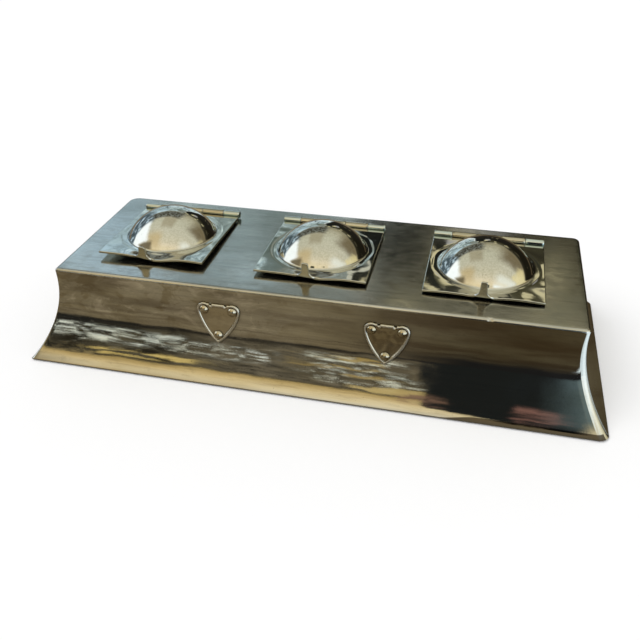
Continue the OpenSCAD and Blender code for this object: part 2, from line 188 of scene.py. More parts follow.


# Body

# Each corner's radius in plan at the top, waist and foot in mm, and how far its mitre is rubbed: rougher and
# painted brighter, partly a highlight
CORNERS = {
    "front_left": (1.7, 1.2, 1.4, 0.3),
    "front_right": (2.6, 3.6, 5.5, 1.0),
    "rear_right": (4.0, 2.3, 4.0, 0.6),
    "rear_left": (6.5, 2.3, 3.4, 0.4),
}
EDGE_R = 1.6 * MM
FOOT_EDGE_R = 0.35 * MM
LEAST_CORNER_R = 0.25 * MM
PANEL_TALL = TOP_Z - SHEET - FOOT_Z
UNEVEN = 0.09 * MM
CELLS = [(HINGES[0].x + HINGES[1].x) / 2, (HINGES[1].x + HINGES[2].x) / 2]
# A small dent in the front edge of the top
DENT_X, DENT_DEEP, DENT_WIDE, DENT_STEP = 98.2 * MM, 0.5 * MM, 0.8 * MM, 1.2 * MM


def corner_radius(corner, depth):
    """Radius in plan of a body corner, from the top (depth 0) to the foot (depth 1)."""
    top, waist, foot, _ = CORNERS[corner]
    high, low = (1 - depth) ** 6, depth ** 6
    return top * MM * high + foot * MM * low + waist * MM * (1 - high - low)


def edge_inset(depth):
    """How far the round edge of the top lies inside the body's outline at a depth under the top."""
    low = max(EDGE_R - depth, 0)
    return EDGE_R - math.sqrt(EDGE_R**2 - low**2)


def side_section(top, inset):
    """Section of a side's face: points at its top, then the hollow, this far inside the outer face. Each
    point is (outwards, height, depth from 0 at the top to 1 at the foot)."""
    radius = HOLLOW_R + inset
    lowest = math.asin(HOLLOW_DROP / radius)
    hollow = [(HOLLOW_R - radius * math.cos(a), HOLLOW_DROP - radius * math.sin(a))
              for a in np.linspace(0, lowest, 52)]
    return [(u, z, 1 - z / PANEL_TALL) for u, z in top + hollow]


def plan_stations(run, out, u, r_left, r_right, steps):
    """Points and outward directions along a side at one level, from its left mitre to its right one."""
    half, line = run / 2 + u, -(out + u)
    turns = np.linspace(0, math.pi / 4, 7)

    def round_corner(x, r, angles):
        away = [(math.sin(a), -math.cos(a)) for a in angles]
        return [((x + r * nx, line + r + r * ny), (nx, ny)) for nx, ny in away]

    first, last = -half + r_left, half - r_right
    straight = [((x, line), (0.0, -1.0)) for x in np.linspace(first, last, steps)[1:-1]]
    return round_corner(first, r_left, -turns[::-1]) + straight + round_corner(last, r_right, turns)


def side_panel(name, run, out, turn, left, right, steps):
    """One side of the body as a closed sheet with softly rounded mitres and a gentle unevenness."""
    turned = Matrix.Rotation(turn, 3, "Z")
    bend = np.linspace(0, EDGE_R - SHEET, 5)[:-1]
    outer_top = [(-edge_inset(SHEET + d), PANEL_TALL - d) for d in bend]
    outer_top += [(0.0, z) for z in np.linspace(PANEL_TALL - EDGE_R + SHEET, HOLLOW_DROP, 4)[:-1]]
    outer = side_section(outer_top, 0)
    inner = side_section([(-SHEET, z) for z in np.linspace(PANEL_TALL, HOLLOW_DROP, 8)[:-1]], SHEET)
    foot_u, foot_z, _ = outer[-1]
    loop = [(*p, 0.0, True) for p in outer[:-1]]
    loop.append((foot_u - 0.1 * MM, foot_z + FOOT_EDGE_R, 1.0, 0.0, True))
    loop.append((foot_u - 0.3 * MM, foot_z, 1.0, 0.0, True))
    loop += [(*p, SHEET, False) for p in reversed(inner)]
    columns = []
    for u, z, depth, inset, is_outer in loop:
        r_left, r_right = (max(corner_radius(c, depth) - inset, LEAST_CORNER_R) for c in (left, right))
        column = []
        for (x, y), (nx, ny) in plan_stations(run, out, u, r_left, r_right, steps):
            point = turned @ Vector((x, y, FOOT_Z + z))
            if is_outer:
                away = turned @ Vector((nx, ny, 0))
                calm = min(1.0, (1 - depth) * 14, depth * 14)
                push = wander(point, 30 * MM, 3.7) + 0.5 * wander(point, 11 * MM, 9.1) - 1.2
                point = point + away * UNEVEN * push * calm
            column.append(point)
        columns.append(column)
    rows, count = len(columns[0]), len(columns)
    verts = [column[r] for r in range(rows) for column in columns]
    faces = grid_faces(rows, count, wrap_columns=True)
    for end in (0, (rows - 1) * count):
        for k in range(len(outer) - 1):
            faces.append((end + k, end + k + 1, end + count - 2 - k, end + count - 1 - k))
        faces.append((end + len(outer) - 1, end + len(outer), end + len(outer) + 1))
    obj = mesh_object(name, verts, faces, 40)
    # Mitres marked as rubbed: rougher and painted brighter, partly a highlight
    worn = [float(smoothstep(2, 5, 6 - min(r, rows - 1 - r))) * CORNERS[left if r < rows / 2 else right][3]
            for r in range(rows)]
    mark(obj, "rubbed_and_highlight", verts, [w for w in worn for _ in columns])
    return obj


def top_outline(inset):
    """The top's outline and its directions, anticlockwise from the front left corner, pulled in by inset."""
    spacing = 2.6 * MM
    radius = [corner_radius(name, 0) for name in CORNERS]
    front_stops = sorted(CELLS + [DENT_X + k * DENT_STEP for k in (-2, -1, 0, 1, 2)])
    rear_stops = [-x for x in reversed(CELLS)]
    sides = [(HALF_LENGTH, HALF_WIDTH, (1, 0), front_stops), (HALF_WIDTH, HALF_LENGTH, (0, 1), []),
             (HALF_LENGTH, HALF_WIDTH, (-1, 0), rear_stops), (HALF_WIDTH, HALF_LENGTH, (0, -1), [])]
    outline = []
    for side, (half, out, (ax, ay), stops) in enumerate(sides):
        r = radius[(side + 1) % 4]

        def spot(along, away):
            return (along * ax + away * ay, along * ay - away * ax)

        marks = [-half + radius[side], *stops, half - r]
        for first, last in zip(marks, marks[1:]):
            count = max(2, int(abs(last - first) / spacing))
            outline += [(spot(first + (last - first) * t / count, out), (ay, -ax)) for t in range(count)]
        cx, cy = spot(half - r, out - r)
        for a in np.radians(np.linspace(-90, 0, 13)[:-1] + 90 * side):
            outline.append(((cx + r * math.cos(a), cy + r * math.sin(a)), (math.cos(a), math.sin(a))))
    return [((x - inset * nx, y - inset * ny), (nx, ny)) for (x, y), (nx, ny) in outline]


def top_plate():
    """The top: three cells of rings about the wells, and a round edge."""
    inner = [point for point, _ in top_outline(EDGE_R)]
    seam = np.linspace(EDGE_R - HALF_WIDTH, HALF_WIDTH - EDGE_R, 40)[1:-1]
    rings = 22
    bounds = [-HALF_LENGTH, *CELLS, HALF_LENGTH]
    verts, faces = [], []
    for low, high, hinge in zip(bounds, bounds[1:], HINGES):
        cx, cy = hinge.x, hinge.y - DOME_BACK
        rim = [p for p in inner if low - 1e-7 <= p[0] <= high + 1e-7]
        rim += [(x, y) for x in (low, high) if x in CELLS for y in seam]
        rim.sort(key=lambda p: math.atan2(p[1] - cy, p[0] - cx))
        starts = []
        for z in (TOP_Z, TOP_Z - SHEET):
            starts.append(len(verts))
            for x, y in rim:
                a = math.atan2(y - cy, x - cx)
                hx, hy = cx + WELL_R * math.cos(a), cy + WELL_R * math.sin(a)
                for k in range(rings + 1):
                    t = k / rings
                    verts.append((hx + (x - hx) * t, hy + (y - hy) * t, z))
            faces += grid_faces(len(rim), rings + 1, starts[-1], wrap_rows=True)
        over, under = starts
        for k in range(len(rim)):
            here, ahead = k * (rings + 1), (k + 1) % len(rim) * (rings + 1)
            faces.append((over + here, over + ahead, under + ahead, under + here))
    start = len(verts)
    lowest = math.acos(1 - SHEET / EDGE_R)
    profile = [(EDGE_R - EDGE_R * math.sin(a), TOP_Z - EDGE_R + EDGE_R * math.cos(a))
               for a in np.linspace(0, lowest, 10)]
    profile.append((EDGE_R, TOP_Z - SHEET))
    outer = top_outline(0)
    for (x, y), (nx, ny) in outer:
        dent = DENT_DEEP * math.exp(-(((x - DENT_X) / DENT_WIDE) ** 2)) if ny < -0.9 else 0
        for k, (inset, z) in enumerate(profile):
            sunk = dent * math.sin(math.pi * k / (len(profile) - 1))
            verts.append((x - inset * nx, y - inset * ny + sunk, z - sunk))
    faces += grid_faces(len(outer), len(profile), start, wrap_rows=True)
    return mesh_object("top_plate_skin", verts, faces, 50)


# Lids

# In mm and degrees: the thumb tab's place, height, width and lean, how far the front edge droops and where,
# and the share of the lean of the left and the right front corner
LIDS = [
    {"tab_x": -3.6, "tab_tall": 5.4, "tab_tip": 4.8, "lean": 88, "droop": 1.7, "droop_x": 2.5,
     "lean_in": (0.1, 0.7), "seed": 2.3},
    {"tab_x": -1.7, "tab_tall": 7.0, "tab_tip": 4.4, "lean": 86, "droop": 1.2, "droop_x": 2.5,
     "lean_in": (0.3, 1.0), "seed": 5.9},
    {"tab_x": 0.0, "tab_tall": 7.4, "tab_tip": 4.2, "lean": 88, "droop": 0.7, "droop_x": 1.0,
     "lean_in": (1.0, 1.0), "seed": 8.4},
]
PLATE_UNDER = LID_HOVER - (HINGES[0].z - TOP_Z)
PLATE_OVER = PLATE_UNDER + LID_SHEET
SPHERE_R = (DOME_R**2 + DOME_HEIGHT**2) / (2 * DOME_HEIGHT)
SPHERE_Z = DOME_HEIGHT - SPHERE_R
BEND_X = math.sqrt((SPHERE_R + DOME_BEND_R) ** 2 - (DOME_BEND_R - SPHERE_Z) ** 2)


def lid_edge(look):
    """Outline of a lid's flat blank about the dome's middle, anticlockwise."""
    half = LID_WIDTH / 2
    solder, notch = DOME_BACK - 2.0 * MM, DOME_BACK - KNUCKLE_R - 0.4 * MM
    corner, cut, gap = 0.5 * MM, 0.15 * MM, 0.15 * MM
    wide, fine = 2.2 * MM, 0.45 * MM
    flare_out, flare_up = 3.2 * MM, 2.6 * MM
    tip, slim, round_r = look["tab_tip"] / 2 * MM, 0.35 * MM, 0.9 * MM
    left, right = look["tab_x"] * MM - tip, look["tab_x"] * MM + tip
    tip_y = LID_FRONT - look["tab_tall"] * MM - 1.0 * MM
    points = []

    def run(a, b, spacing):
        a, b = np.array(a, float), np.array(b, float)
        count = max(1, int(np.linalg.norm(b - a) / spacing))
        points.extend(tuple(a + (b - a) * t / count) for t in range(count))

    def flare(x, out, first, last):
        for a in np.radians(np.linspace(first, last, 9)):
            points.append((x + out * (1 - math.sin(a)), LID_FRONT - flare_up * (1 - math.cos(a))))

    run((half, LID_FRONT + corner), (half, solder), wide)
    x = half
    for k, length in enumerate([END_KNUCKLE, INNER_KNUCKLE, INNER_KNUCKLE, INNER_KNUCKLE, END_KNUCKLE]):
        y = notch if k % 2 else solder
        run((x - gap, y), (x - length + gap, y), wide)
        x -= length
        if k < 4:
            points.append((x + gap, y))
    points.append((-half, solder))
    run((-half, solder - wide), (-half, LID_FRONT + corner), wide)
    points.append((-half + cut, LID_FRONT + cut))
    run((-half + corner, LID_FRONT), (left - flare_out, LID_FRONT), wide)
    flare(left, -flare_out, 0, 80)
    run((left + 0.03 * MM, LID_FRONT - flare_up), (left + slim, tip_y + round_r), fine)
    points += arc((left + slim + round_r, tip_y + round_r), round_r, 180, 270, 5)
    run((left + slim + 1.4 * round_r, tip_y), (right - slim - round_r, tip_y), fine)
    points += arc((right - slim - round_r, tip_y + round_r), round_r, 270, 360, 5)
    run((right - slim, tip_y + 1.4 * round_r), (right - 0.03 * MM, LID_FRONT - flare_up), fine)
    flare(right, flare_out, 80, 0)
    run((right + flare_out + 0.5 * MM, LID_FRONT), (half - corner, LID_FRONT), wide)
    points.append((half - cut, LID_FRONT + cut))
    return np.array(points)


def droop(x, look):
    """Share of the front edge's droop at this place along it."""
    return np.exp(-(((x - look["droop_x"] * MM) / (11 * MM)) ** 2))


def lid_height(x, y, look):
    """Height of the top face over the plate's own level, before the tab is bent up."""
    r = np.hypot(x, y)
    sphere = SPHERE_Z + np.sqrt(np.maximum(SPHERE_R**2 - r**2, 0))
    bend = DOME_BEND_R - np.sqrt(np.maximum(DOME_BEND_R**2 - np.clip(BEND_X - r, 0, DOME_BEND_R) ** 2, 0))
    touch = BEND_X * SPHERE_R / (SPHERE_R + DOME_BEND_R)
    z = np.where(r < touch, sphere, np.where(r < BEND_X, bend, 0.0))
    return z - look["droop"] * MM * droop(x, look) * (1 - smoothstep(LID_FRONT, LID_FRONT + 8 * MM, y))


def hammer(x, y, seed, amount):
    """Shallow marks of a planishing hammer on the dome."""
    size, out = 4.2 * MM, np.zeros_like(x)
    for i in np.ndindex(x.shape):
        p = Vector((x[i] / size + seed, y[i] / size - seed, seed))
        out[i] = noise.noise(p) + 0.6 * noise.noise(p * 2.1)
    return out * amount * (0.25 + 0.75 * smoothstep(12 * MM, 27 * MM, np.hypot(x, y)))


def plate_bend(x, y, look):
    """The slight bends of a plate round its dome, and its front corners' lean."""
    flat = smoothstep(BEND_X, BEND_X + 3 * MM, np.hypot(x, y))
    free = 1 - smoothstep(DOME_BACK - 16 * MM, DOME_BACK - 5 * MM, y)
    out = np.zeros_like(x)
    for i in np.ndindex(x.shape):
        out[i] = wander((x[i], y[i], 0), 13 * MM, look["seed"] * 1.7)
    reach = 15 * MM
    side = np.clip((np.abs(x) - LID_WIDTH / 2 + reach) / reach, 0, 1) ** 2 * np.where(x < 0, *look["lean_in"])
    ahead = np.clip((LID_FRONT + reach - y) / reach, 0, 1)
    r = np.hypot(x, y) + 1.1 * out * MM
    groove = np.exp(-(((r - BEND_X - 1.8 * MM) / (0.9 * MM)) ** 2))
    groove = groove * (0.35 + 0.65 * smoothstep(-0.3, 0.3, out))
    return flat * free * (0.22 * MM * out - 0.55 * MM * side * ahead) - 0.12 * MM * groove


def unit(v):
    return v / np.maximum(np.linalg.norm(v, axis=-1, keepdims=True), 1e-12)


def lid_plan(look):
    """The plan of a lid's top face as rings of points, from its middle to its edge."""
    rim = lid_edge(look)
    angles = np.unwrap(np.arctan2(rim[:, 1], rim[:, 0]))
    least = np.arange(len(angles)) * 2e-5
    angles = np.maximum.accumulate(angles - least) + least
    along = np.roll(rim, -1, axis=0) - np.roll(rim, 1, axis=0)
    out = unit(np.stack([along[:, 1], -along[:, 0]], 1))
    last_ring, outer_rings = 29.6 * MM, 26
    touch = math.asin(BEND_X / (SPHERE_R + DOME_BEND_R))
    radii = [SPHERE_R * math.sin(a) for a in np.linspace(0, touch, 42)[1:]]
    turn = math.pi / 2 - math.asin((BEND_X - radii[-1]) / DOME_BEND_R)
    radii += [BEND_X - DOME_BEND_R * math.cos(a) for a in np.linspace(turn, math.pi / 2, 9)[1:]]
    radii += [BEND_X + 0.7 * MM, BEND_X + 1.4 * MM, last_ring]
    round_about = np.stack([np.cos(angles), np.sin(angles)], 1)
    circle, inner_rim = last_ring * round_about, rim - out * 0.55 * MM
    rings = [r * round_about for r in radii]
    rings += [circle + (inner_rim - circle) * k / (outer_rings - 1) for k in range(1, outer_rings)]
    rings.append(rim - out * 0.3 * MM)
    return np.array(rings)[:, :, 0], np.array(rings)[:, :, 1]


def lid_sheet(name, look, hinge, tilt):
    """A lid: plate, dome and thumb tab as one closed sheet."""
    x, y = lid_plan(look)
    count = x.shape[1]
    lower = 0.015 * MM
    z = lid_height(x, y, look)
    marks = hammer(x, y, look["seed"], 0.03 * MM)
    z = z + (marks - lower) * (1 - smoothstep(27 * MM, 30 * MM, np.hypot(x, y)))
    z = z + plate_bend(x, y, look)

    # The tab's strip turns up through a bend that fades out beside it
    half_tip, bend_r = look["tab_tip"] / 2 * MM, 1.1 * MM
    begin = LID_FRONT + bend_r + 0.55 * MM
    off = np.abs(x - look["tab_x"] * MM)
    most = math.radians(look["lean"]) * (1 - smoothstep(half_tip + 0.6 * MM, half_tip + 4.2 * MM, off))
    along = np.maximum(begin - y, 0)
    turned = np.minimum(along / bend_r, most)
    rest = np.maximum(along - turned * bend_r, 0)
    y = np.where(along > 0, begin - bend_r * np.sin(turned) - rest * np.cos(turned), y)
    z = z + bend_r * (1 - np.cos(turned)) + rest * np.sin(turned)
    bulge = 0.4 * look["droop"] * MM * droop(x, look)
    y = y - bulge * (1 - smoothstep(LID_FRONT, LID_FRONT + 6 * MM, y))

    over = np.stack([x, y, z], 2)
    around = np.roll(over, -1, axis=1) - np.roll(over, 1, axis=1)
    normal = unit(np.cross(np.gradient(over, axis=0), around))
    n = normal[-1]
    outward = unit(over[-1] - over[-2])
    outward = outward - n * np.sum(outward * n, axis=1, keepdims=True)

    edge_r, nip = 0.3 * MM, 0.09 * MM
    last = over[-1] + outward * edge_r
    edge = [last - outward * nip - n * nip, last - n * edge_r, last - n * (LID_SHEET - edge_r),
            last - outward * nip - n * (LID_SHEET - nip)]
    layers = [*over, *edge, *(over - normal * LID_SHEET)[::-1]]
    peak = SPHERE_R + SPHERE_Z
    verts = np.concatenate([*layers, [[0, 0, peak], [0, 0, peak - LID_SHEET]]])
    top_point, last_layer = len(verts) - 2, (len(layers) - 1) * count
    ahead = [(a + 1) % count for a in range(count)]
    faces = [(k + a, k + b, k + count + b, k + count + a)
             for k in range(0, last_layer, count) for a, b in enumerate(ahead)]
    for a, b in enumerate(ahead):
        faces += [(top_point, b, a), (top_point + 1, last_layer + a, last_layer + b)]
    place = (Matrix.Translation(hinge) @ Matrix.Rotation(-tilt, 4, "X")
             @ Matrix.Translation((0, -DOME_BACK, PLATE_OVER)))
    return mesh_object(name, [place @ Vector(v) for v in verts], faces, 60)


def knuckle_ends():
    ends = [0, END_KNUCKLE, END_KNUCKLE + INNER_KNUCKLE, END_KNUCKLE + 2 * INNER_KNUCKLE,
            LID_WIDTH - END_KNUCKLE, LID_WIDTH]
    return [e - LID_WIDTH / 2 for e in ends]


def knuckle(k, bore, seed):
    """One rolled knuckle of a hinge, along x about the hinge axis."""
    ends = knuckle_ends()
    first = ends[0] if k == 0 else ends[k] + KNUCKLE_GAP / 2
    last = ends[5] if k == 4 else ends[k + 1] - KNUCKLE_GAP / 2
    b, r = 0.22 * MM, KNUCKLE_R
    rows = [(bore + b / 2, first), (r - b, first), (r - 0.3 * b, first + 0.3 * b), (r, first + b)]
    rows += [(r, x) for x in np.linspace(first + b, last - b, 10)[1:-1]]
    rows += [(r, last - b), (r - 0.3 * b, last - 0.3 * b), (r - b, last), (bore + b / 2, last),
             (bore, last - b / 2), (bore, first + b / 2)]
    verts, faces = lathe(rows, 56)
    out = []
    for x, y, z in verts:
        swell = 1 - 0.012 * (1 + wander((x, y, z), 5 * MM, seed)) if math.hypot(x, y) > 1.5 * MM else 1
        out.append((z, x * swell, y * swell))
    return out, faces


def joined(name, parts):
    """One object from several closed sets of points and faces."""
    verts, faces = [], []
    for v, f in parts:
        faces += [tuple(i + len(verts) for i in face) for face in f]
        verts += [tuple(p) for p in v]
    return mesh_object(name, verts, faces, 34)


def placed(part, matrix):
    verts, faces = part
    return [tuple(matrix @ Vector(v)) for v in verts], faces


def soft_box(low, high, b):
    """A box with small chamfers on its upright and lying edges."""
    (x0, y0, z0), (x1, y1, z1) = low, high
    verts, faces = [], []
    for z, i in ((z0, b), (z0 + b, 0), (z1 - b, 0), (z1, b)):
        verts += [(x0 + i + b, y0 + i, z), (x1 - i - b, y0 + i, z), (x1 - i, y0 + i + b, z),
                  (x1 - i, y1 - i - b, z), (x1 - i - b, y1 - i, z), (x0 + i + b, y1 - i, z),
                  (x0 + i, y1 - i - b, z), (x0 + i, y0 + i + b, z)]
    for level in (0, 8, 16):
        for k in range(8):
            k2 = (k + 1) % 8
            faces.append((level + k, level + k2, level + 8 + k2, level + 8 + k))
    return verts, faces + [tuple(reversed(range(8))), tuple(range(24, 32))]


# Hearts and rivets

def hollow_point(x, height):
    """A point of the front's hollow face at a height above the foot, and its outward direction."""
    a = math.asin((HOLLOW_DROP - height) / HOLLOW_R)
    y = -HALF_WIDTH - HOLLOW_R + HOLLOW_R * math.cos(a)
    return Vector((x, y, FOOT_Z + height)), Vector((0, -math.cos(a), math.sin(a)))


def meeting(p, r, q, s):
    """Where circles about p and q meet, on the right of the line from p to q."""
    run = math.dist(p, q)
    along = ((q[0] - p[0]) / run, (q[1] - p[1]) / run)
    reach = (r * r - s * s + run * run) / (2 * run)
    off = math.sqrt(r * r - reach * reach)
    return (p[0] + reach * along[0] + off * along[1], p[1] + reach * along[1] - off * along[0])


def heart_outline():
    """Outline of a heart about the middle of its upper edge, in arcs as in the part's source."""
    brow, nick_r, nick_out, side_r = 0.4 * MM, 0.9 * MM, 2.0 * MM, 28 * MM
    lobe, point = (HEART_WIDTH / 2 - LOBE_R, -LOBE_R), (0, -HEART_HEIGHT)
    brow_start = lobe[0] - math.sqrt(LOBE_R**2 - (LOBE_R - brow) ** 2)
    nick = (brow_start - nick_out, -brow)
    lobe_turn = math.degrees(math.asin((LOBE_R - brow) / LOBE_R))
    side = meeting(lobe, side_r - LOBE_R, point, side_r)
    shoulder = math.degrees(math.atan2(lobe[1] - side[1], lobe[0] - side[0]))
    low = math.degrees(math.atan2(point[1] - side[1], point[0] - side[0]))
    half = [(x, -brow) for x in np.linspace(0, nick[0] - nick_r, 8)[:-1]]
    half += arc(nick, nick_r, 180, 360, 12)
    half += arc(lobe, LOBE_R, 180 - lobe_turn, shoulder, 30)
    half += arc(side, side_r, shoulder, low, 34)[1:]
    return half + [(-x, y) for x, y in reversed(half[1:-1])]


def heart_plate(name, middle_x, seed, relief):
    """A heart: a bevelled border, rougher and painted brighter as a highlight, round a hammered field, bent
    to the front's hollow. Its depths in from the outline and heights over the front are in mm."""
    outline = np.array(heart_outline())
    centre, count = np.array([0, -9.5 * MM]), len(outline)
    reach = np.linalg.norm(outline - centre, axis=1)
    bevel, field, middle_height = 0.8, 2.2, 0.78

    def inset(d):
        return centre + (outline - centre) * (1 - d * MM / reach)[:, None]

    def raised(x, y, height):
        point, away = hollow_point(middle_x + x, HEART_TOP + y)
        return point + away * height * MM

    depths = [0, 0.08, 0.2, 0.35, 0.5, 0.65, bevel, 1.0, 1.2, 1.35, 1.5, 1.65, 1.8, field]
    rings = [(inset(d), d) for d in depths]
    rings += [(centre + (inset(field) - centre) * t, field + (1 - t) * 8) for t in np.linspace(0.8, 0.04, 16)]
    verts, rim = [], []
    for ring, d in rings:
        border = 0.9 * math.sqrt(max(0, 1 - (1 - min(d / bevel, 1)) ** 2))
        sunk = 0.42 * float(smoothstep(1.2, 1.8, d))
        hammered = relief * float(smoothstep(1.0, 2.4, d))
        for x, y in ring:
            marks = hammered * wander((x, y, 0), 3.4 * MM, seed)
            verts.append(raised(x, y, 0.3 + border - sunk + marks))
        # The border's rubbed mark: rougher and painted brighter, partly a highlight
        rim += [float(smoothstep(0.0, 0.12, d) * (1 - smoothstep(1.3, 1.7, d)))] * count
    inner, middle, back = len(verts) - count, len(verts), len(verts) + 1
    verts.append(raised(*centre, middle_height))
    for t in (1, 0.66, 0.33, 0.04):
        verts += [raised(x, y, 0) for x, y in centre + (outline - centre) * t]
    last, back_inner = len(verts), len(verts) - count
    verts.append(raised(*centre, 0))
    faces = grid_faces(len(rings), count, wrap_columns=True) + grid_faces(4, count, back, wrap_columns=True)
    for k in range(count):
        k2 = (k + 1) % count
        faces += [(middle, inner + k2, inner + k), (back + k, back + k2, k2, k),
                  (last, back_inner + k, back_inner + k2)]
    obj = mesh_object(name, verts, faces, 50)
    mark(obj, "rubbed_and_highlight", verts, rim + [0.0] * (len(verts) - len(rim)))
    return obj


def rivet(x, height, seed):
    """A rivet with a round hammered head outside and a closed end inside."""
    point, away = hollow_point(x, height)
    right = Vector((1, 0, 0))
    place = Matrix((right, away.cross(right), away)).transposed().to_4x4()
    place.translation = point
    head_r = (RIVET_HEAD_R**2 + RIVET_HEAD_H**2) / (2 * RIVET_HEAD_H)
    seat, axis_r = HEART_THICK + 0.05 * MM, 0.02 * MM
    sunk, step = seat - 0.6 * MM, 0.25 * MM
    half = math.asin(RIVET_HEAD_R / head_r)
    shank, tail_r, tail_h = 1.1 * MM, 1.8 * MM, 0.8 * MM
    profile = [(axis_r, -SHEET - tail_h), (tail_r - 0.3 * MM, -SHEET - tail_h), (tail_r, -SHEET - tail_h / 2),
               (tail_r, -SHEET - 0.02 * MM), (shank, -SHEET), (shank, sunk), (RIVET_HEAD_R - step, sunk),
               (RIVET_HEAD_R - 0.05 * MM, seat)]
    profile += [(head_r * math.sin(a), seat + RIVET_HEAD_H - head_r + head_r * math.cos(a))
                for a in np.linspace(half, math.radians(1.0), 18)]
    profile.append((axis_r, seat + RIVET_HEAD_H))
    verts, faces = lathe(profile, 40)
    marked = []
    for px, py, pz in verts:
        if pz > seat + 0.1 * MM:
            pz += 0.10 * MM * (wander((px, py, 0), 2.0 * MM, seed) - 0.6)
        marked.append((px, py, pz))
    return placed((marked, faces), place)


# Ink pots

def ink_pot(side):
    """A glass pot that hangs in its well by its flange, with round lips and a thick floor."""
    low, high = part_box(f"{side}_ink_pot")
    middle = (low + high) / 2
    flange_r = (high.x - low.x) / 2
    lip, foot_r, hollow_r = (high.z - TOP_Z) * 0.45, 4 * MM, 5 * MM
    pot_r, axis_r = WELL_R - 0.4 * MM, 0.02 * MM
    bore, floor_z = pot_r - 3 * MM, low.z + 4 * MM
    profile = [(axis_r, low.z + 0.6 * MM), (pot_r * 0.55, low.z + 0.35 * MM),
               (pot_r - foot_r - 1 * MM, low.z)]
    profile += arc((pot_r - foot_r, low.z + foot_r), foot_r, -90, 0, 8)
    profile += [(pot_r, TOP_Z - 12 * MM), (pot_r, TOP_Z - 0.6 * MM), (pot_r + 0.25 * MM, TOP_Z),
                (flange_r - lip, TOP_Z)]
    profile += arc((flange_r - lip, TOP_Z + lip), lip, -90, 0, 5)[1:]
    profile += arc((flange_r - lip, high.z - lip), lip, 0, 90, 5)
    profile += arc((bore + lip, high.z - lip), lip, 90, 180, 5)
    profile += [(bore, TOP_Z - 14 * MM), (bore, floor_z + hollow_r)]
    profile += arc((bore - hollow_r, floor_z + hollow_r), hollow_r, 0, -90, 8)[1:]
    profile += [(bore * 0.4, floor_z + 0.15 * MM), (axis_r, floor_z + 0.3 * MM)]
    verts, faces = lathe(profile, 96)
    return mesh_object(f"{side}_pot", [(x + middle.x, y + middle.y, z) for x, y, z in verts], faces)


# Materials

FINE_MARKS = 0.02 * MM
# Tones as they show on screen
SIDE_TONES = ((0.86, 0.85, 0.81), (0.80, 0.78, 0.71))
# Colour of crevice darkening: dirt and painted shade
DIRT_AND_SHADE = (0.20, 0.17, 0.13)
# Colour of rubbed places: partly wear, partly a painted highlight
RUBBED_HIGHLIGHT_TONE = (0.95, 0.94, 0.90)


class Nodes:
    """A small helper for node trees."""

    def __init__(self, tree):
        self.tree = tree
        tree.nodes.clear()

    def add(self, kind, **settings):
        node = self.tree.nodes.new(kind)
        for key, value in settings.items():
            setattr(node, key, value)
        return node

    def plug(self, socket, value):
        if isinstance(value, bpy.types.NodeSocket):
            self.tree.links.new(value, socket)
        elif hasattr(value, "__len__") and len(value) == 3 and socket.type == "RGBA":
            socket.default_value = (*value, 1)
        else:
            socket.default_value = value

    def made(self, kind, inputs, output=0, **settings):
        """One output of a new node with these inputs."""
        node = self.add(kind, **settings)
        for key, value in inputs.items():
            self.plug(node.inputs[key], value)
        return node.outputs[output]

    def math(self, operation, a, b=0.0):
        return self.made("ShaderNodeMath", {0: a, 1: b}, operation=operation)

    def times(self, a, b):
        return self.math("MULTIPLY", a, b)

    def plus(self, a, b):
        return self.math("ADD", a, b)

    def less(self, a, b):
        return self.math("SUBTRACT", a, b)

    def seen(self):
        """1 for camera, glossy and transmission rays, 0 for the others."""
        rays = self.add("ShaderNodeLightPath").outputs
        first = self.math("MAXIMUM", rays["Is Camera Ray"], rays["Is Glossy Ray"])
        return self.math("MAXIMUM", first, rays["Is Transmission Ray"])


